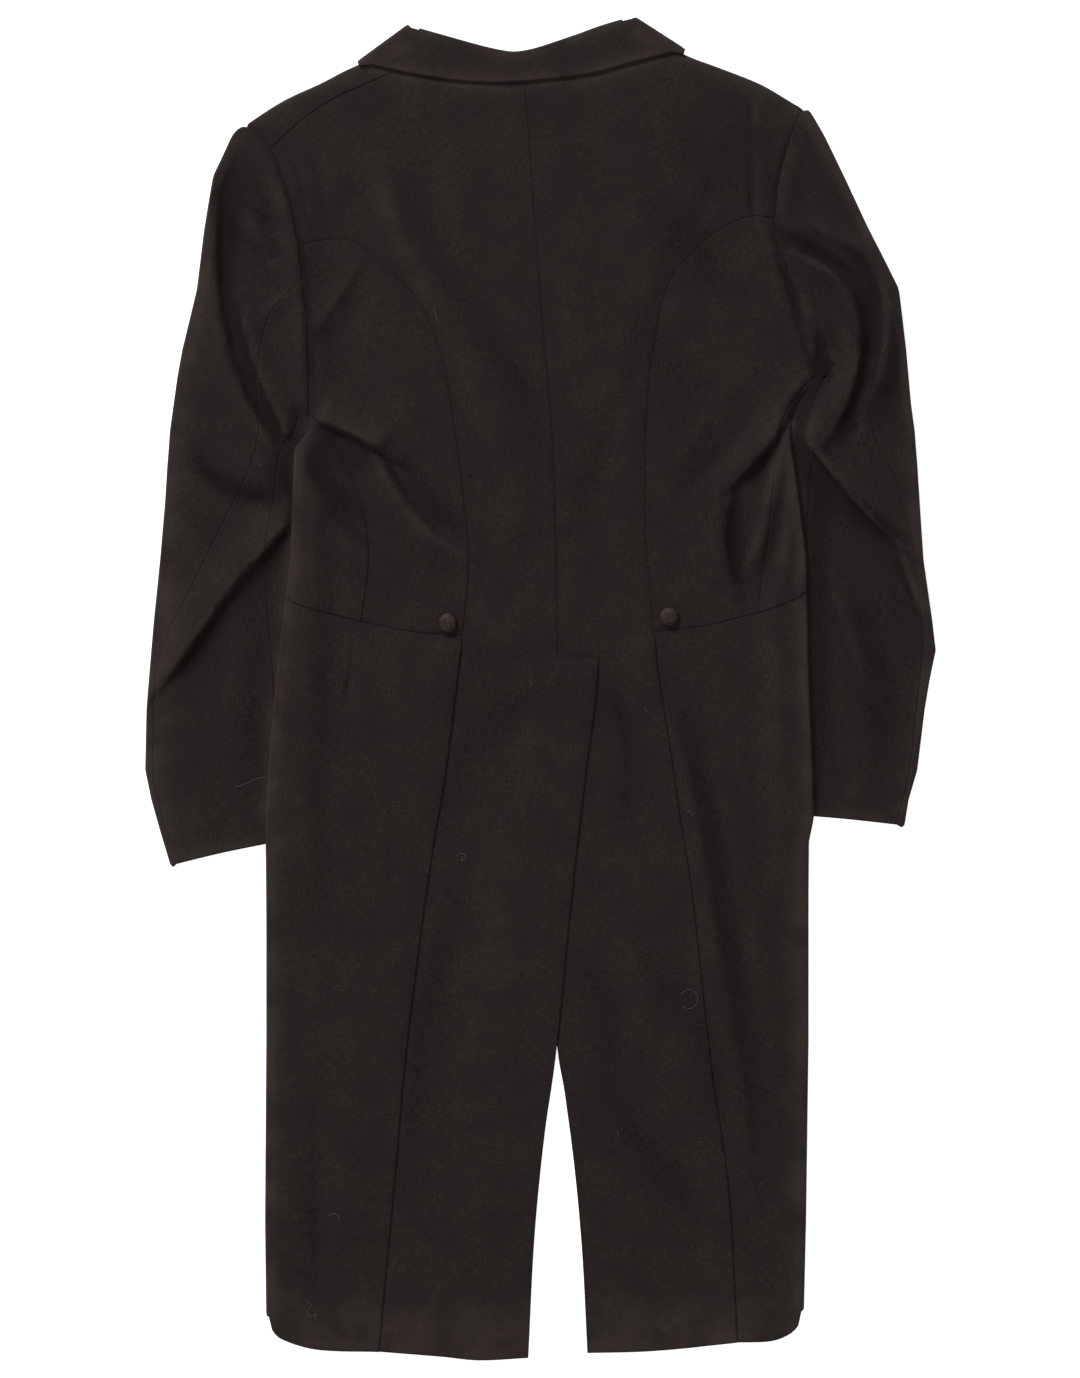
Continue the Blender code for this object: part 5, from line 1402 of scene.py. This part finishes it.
def button_material():
    """A silk cover drawn over the button: fine ribs, a soft shine and paler and darker patches."""
    made = bpy.data.materials.get("silk_cover")
    if made:
        return made
    look = bpy.context.scene.tailcoat_look
    shader = Shader("silk_cover")
    spot = shader.node("ShaderNodeTexCoord", {}, {}, "Object")
    split = shader.node("ShaderNodeSeparateXYZ", {}, {"Vector": spot}, "X")
    across, along = split, Wire(shader, split.socket.node.outputs["Y"])
    turn = 2 * math.pi / 0.0006
    ribs = (across * turn).sine() * 0.6 + (along * (turn * 0.8)).sine() * 0.4
    patches = shader.noise(spot, 0.003, 3.0)
    tone = shader.mix((patches * 1.3 - 0.2 + ribs * 0.08).clamp(), look.button_dark, look.button_light)
    bump = shader.node(
        "ShaderNodeBump", {}, {"Strength": 0.5, "Distance": 0.00012, "Height": ribs + patches},
    )
    shader.surface(
        Base_Color=tone, Roughness=(0.38 + patches * 0.2).clamp(), Normal=bump,
        Specular_IOR_Level=0.14,
    )
    return shader.material


def thread_material(name, colour):
    shader = Shader(name)
    spot = shader.node("ShaderNodeTexCoord", {}, {}, "Object")
    patches = shader.noise(spot, 0.004, 2.0)
    shader.surface(
        Base_Color=shader.mix(patches, [value * 0.45 for value in colour], colour), Roughness=0.8,
    )
    return shader.material


def floor_material():
    look = bpy.context.scene.tailcoat_look
    shader = Shader("pale_floor")
    spot = shader.node("ShaderNodeTexCoord", {}, {}, "Object")
    tone = shader.mix(shader.noise(spot, 0.4), [c * 0.985 for c in look.floor], look.floor)
    shader.surface(
        Base_Color=tone, Roughness=0.9, Specular_IOR_Level=0.1, Emission_Color=look.floor,
        Emission_Strength=look.floor_glow,
    )
    return shader.material


def aim(obj, target):
    obj.rotation_euler = (Vector(target) - obj.location).to_track_quat("-Z", "Y").to_euler()


def soft_light(name, spot, target, size, power):
    light = bpy.data.lights.new(name, "AREA")
    light.shape, light.size, light.size_y = "RECTANGLE", *size
    light.energy = power
    obj = bpy.data.objects.new(name, light)
    obj.location = spot
    bpy.context.scene.collection.objects.link(obj)
    aim(obj, target)


class TailcoatSizes(bpy.types.PropertyGroup):
    cloth_thickness: FloatProperty(
        name="Cloth thickness", description="Thickness of the wool with its canvas and lining",
        default=CLOTH * MM, min=0.001, max=0.003, unit="LENGTH",
    )
    point_spacing: FloatProperty(
        name="Point spacing", description="Distance between the points of each panel of cloth",
        default=0.0042, min=0.002, max=0.03, unit="LENGTH",
    )


class TailcoatLook(bpy.types.PropertyGroup):
    # dark end of the wool's colours, also reached by the painted shade in hollows
    wool_dark: FloatVectorProperty(
        name="Wool, dark", description="Colour of the wool where its nap lies away",
        default=(0.0070, 0.0043, 0.0036), subtype="COLOR", size=3, min=0.0, max=1.0,
    )
    # light end of the wool's colours, also reached by the painted light on crests and edge rims
    wool_light: FloatVectorProperty(
        name="Wool, light", description="Colour of the wool where it is rubbed",
        default=(0.0345, 0.0250, 0.0216), subtype="COLOR", size=3, min=0.0, max=1.0,
    )
    wool_cast: FloatVectorProperty(
        name="Wool, cast", description="Warm cast that the wool takes in patches",
        default=(0.0150, 0.0094, 0.0098), subtype="COLOR", size=3, min=0.0, max=1.0,
    )
    # colour of the painted shade in the seams
    seam_shade_colour: FloatVectorProperty(
        name="Wool, deep", description="Colour of the wool deep in a seam",
        default=(0.0048, 0.0033, 0.0029), subtype="COLOR", size=3, min=0.0, max=1.0,
    )
    # strength of the painted shade in the seams
    seam_shade: FloatProperty(
        name="Seam shade", description="How dark the seams are", default=0.42, min=0.0, max=1.0,
        subtype="FACTOR",
    )
    wool_sheen: FloatProperty(
        name="Wool sheen", description="Strength of the soft sheen of the nap",
        default=0.10, min=0.0, max=1.0, subtype="FACTOR",
    )
    sheen_tint: FloatVectorProperty(
        name="Sheen tint", description="Colour of the sheen",
        default=(0.5, 0.42, 0.4), subtype="COLOR", size=3, min=0.0, max=1.0,
    )
    # strength of the painted shade in hollows and of the painted light on crests
    hollow_shade: FloatProperty(
        name="Hollow shade", description="How much darker the nap is in hollows than on crests",
        default=0.30, min=0.0, max=2.0,
    )
    weave_pitch: FloatProperty(
        name="Weave pitch", description="Distance between the twill lines of the wool",
        default=0.0009, min=0.0003, max=0.003, unit="LENGTH",
    )
    weave_depth: FloatProperty(
        name="Weave depth", description="Height of the twill lines and nap",
        default=0.00022, min=0.0, max=0.001, unit="LENGTH",
    )
    button_dark: FloatVectorProperty(
        name="Button, dark", description="Colour of the silk cover in its folds",
        default=(0.0125, 0.0078, 0.0066), subtype="COLOR", size=3, min=0.0, max=1.0,
    )
    button_light: FloatVectorProperty(
        name="Button, light", description="Colour of the silk cover where it is rubbed",
        default=(0.0560, 0.0375, 0.0320), subtype="COLOR", size=3, min=0.0, max=1.0,
    )
    lint: FloatVectorProperty(
        name="Lint", description="Colour of loose fibres", default=(0.095, 0.082, 0.072),
        subtype="COLOR", size=3, min=0.0, max=1.0,
    )
    stitches: FloatVectorProperty(
        name="Stitches", description="Colour of the hand stitches", default=(0.020, 0.015, 0.013),
        subtype="COLOR", size=3, min=0.0, max=1.0,
    )
    floor: FloatVectorProperty(
        name="Floor", description="Colour of the floor", default=(0.93, 0.93, 0.93),
        subtype="COLOR", size=3, min=0.0, max=1.0,
    )
    floor_glow: FloatProperty(
        name="Floor glow", description="Evens out the light on the floor", default=0.78, min=0.0,
        max=2.0,
    )
    light_power: FloatProperty(
        name="Light power", description="Power of the main soft light", default=34.0, min=0.0,
        max=500.0, unit="POWER",
    )


class TAILCOAT_OT_body(bpy.types.Operator):
    """Lays out both backs, the side panels and the two fronts with their lapels"""

    bl_idname = "tailcoat.body"
    bl_label = "Body"

    def execute(self, context):
        backs()
        sides()
        fronts()
        return {"FINISHED"}


class TAILCOAT_OT_tails(bpy.types.Operator):
    """Lays out the skirt panels that turn round the sides of the tails"""

    bl_idname = "tailcoat.tails"
    bl_label = "Tails"

    def execute(self, context):
        skirts()
        return {"FINISHED"}


class TAILCOAT_OT_sleeves(bpy.types.Operator):
    """Lays out the top and under pieces of both sleeves"""

    bl_idname = "tailcoat.sleeves"
    bl_label = "Sleeves"

    def execute(self, context):
        sleeves()
        return {"FINISHED"}


class TAILCOAT_OT_collar(bpy.types.Operator):
    """Lays out the collar, folded down over the neck"""

    bl_idname = "tailcoat.collar"
    bl_label = "Collar"

    def execute(self, context):
        collar()
        return {"FINISHED"}


class TAILCOAT_OT_buttons(bpy.types.Operator):
    """Sets the two covered buttons at the waist"""

    bl_idname = "tailcoat.buttons"
    bl_label = "Buttons"

    def execute(self, context):
        buttons()
        return {"FINISHED"}


class TAILCOAT_OT_threads(bpy.types.Operator):
    """Adds the hand stitches and the loose fibres that lie on the cloth"""

    bl_idname = "tailcoat.threads"
    bl_label = "Stitches and lint"

    def execute(self, context):
        look = context.scene.tailcoat_look
        threads("lint", LINT, LINT_RADIUS, thread_material("pale_lint", list(look.lint)))
        threads(
            "hand_stitches", stitch_lines(), STITCH_RADIUS,
            thread_material("stitch_thread", list(look.stitches)),
        )
        return {"FINISHED"}


class TAILCOAT_OT_stage(bpy.types.Operator):
    """Adds the pale floor, the soft light and the camera straight above"""

    bl_idname = "tailcoat.stage"
    bl_label = "Floor, light and camera"

    def execute(self, context):
        scene = context.scene
        mesh = bpy.data.meshes.new("floor")
        reach = 6.0
        mesh.from_pydata(
            [(-reach, -reach, 0), (reach, -reach, 0), (reach, reach, 0), (-reach, reach, 0)],
            [], [(0, 1, 2, 3)],
        )
        mesh.materials.append(floor_material())
        floor = bpy.data.objects.new("floor", mesh)
        floor.location.z = -0.0004
        scene.collection.objects.link(floor)

        power = scene.tailcoat_look.light_power
        soft_light("key", (-2.6, 4.6, 2.9), (0, 0, 0), (2.3, 1.7), power * 10.2)
        soft_light("fill", (-0.1, -1.5, 2.6), (0, -0.3, 0), (2.0, 2.0), power * 0.74)
        world = bpy.data.worlds.new("studio")
        world.use_nodes = True
        world.node_tree.nodes["Background"].inputs["Color"].default_value = (1.0, 1.0, 1.0, 1.0)
        world.node_tree.nodes["Background"].inputs["Strength"].default_value = 0.22
        scene.world = world

        camera = bpy.data.cameras.new("camera")
        camera.sensor_width = 36.0
        camera.lens = camera.sensor_width * CAMERA_HEIGHT / VIEW_LONG_SIDE
        camera.clip_end = 100.0
        obj = bpy.data.objects.new("camera", camera)
        obj.location = (-0.0004, -0.0004, CAMERA_HEIGHT)
        scene.collection.objects.link(obj)
        scene.camera = obj
        scene.view_settings.view_transform = "Standard"
        return {"FINISHED"}


class TAILCOAT_PT_panel(bpy.types.Panel):
    """Lists the pieces of the tailcoat with their sizes and colours"""

    bl_idname = "TAILCOAT_PT_panel"
    bl_label = "White Tie Tailcoat"
    bl_space_type = "VIEW_3D"
    bl_region_type = "UI"
    bl_category = "Tailcoat"

    def draw(self, context):
        for group in (context.scene.tailcoat_sizes, context.scene.tailcoat_look):
            box = self.layout.box()
            for name in group.__annotations__:
                box.prop(group, name)
        for operator in OPERATORS:
            self.layout.operator(operator.bl_idname)


OPERATORS = (
    TAILCOAT_OT_body, TAILCOAT_OT_tails, TAILCOAT_OT_sleeves, TAILCOAT_OT_collar,
    TAILCOAT_OT_buttons, TAILCOAT_OT_threads, TAILCOAT_OT_stage,
)
CLASSES = (TailcoatSizes, TailcoatLook, *OPERATORS, TAILCOAT_PT_panel)


def register():
    for cls in CLASSES:
        bpy.utils.register_class(cls)
    bpy.types.Scene.tailcoat_sizes = PointerProperty(type=TailcoatSizes)
    bpy.types.Scene.tailcoat_look = PointerProperty(type=TailcoatLook)


def unregister():
    del bpy.types.Scene.tailcoat_look
    del bpy.types.Scene.tailcoat_sizes
    for cls in reversed(CLASSES):
        bpy.utils.unregister_class(cls)


def main():
    register()
    bpy.ops.tailcoat.body()
    bpy.ops.tailcoat.tails()
    bpy.ops.tailcoat.sleeves()
    bpy.ops.tailcoat.collar()
    bpy.ops.tailcoat.buttons()
    bpy.ops.tailcoat.threads()
    bpy.ops.tailcoat.stage()


if __name__ == "__main__":
    main()
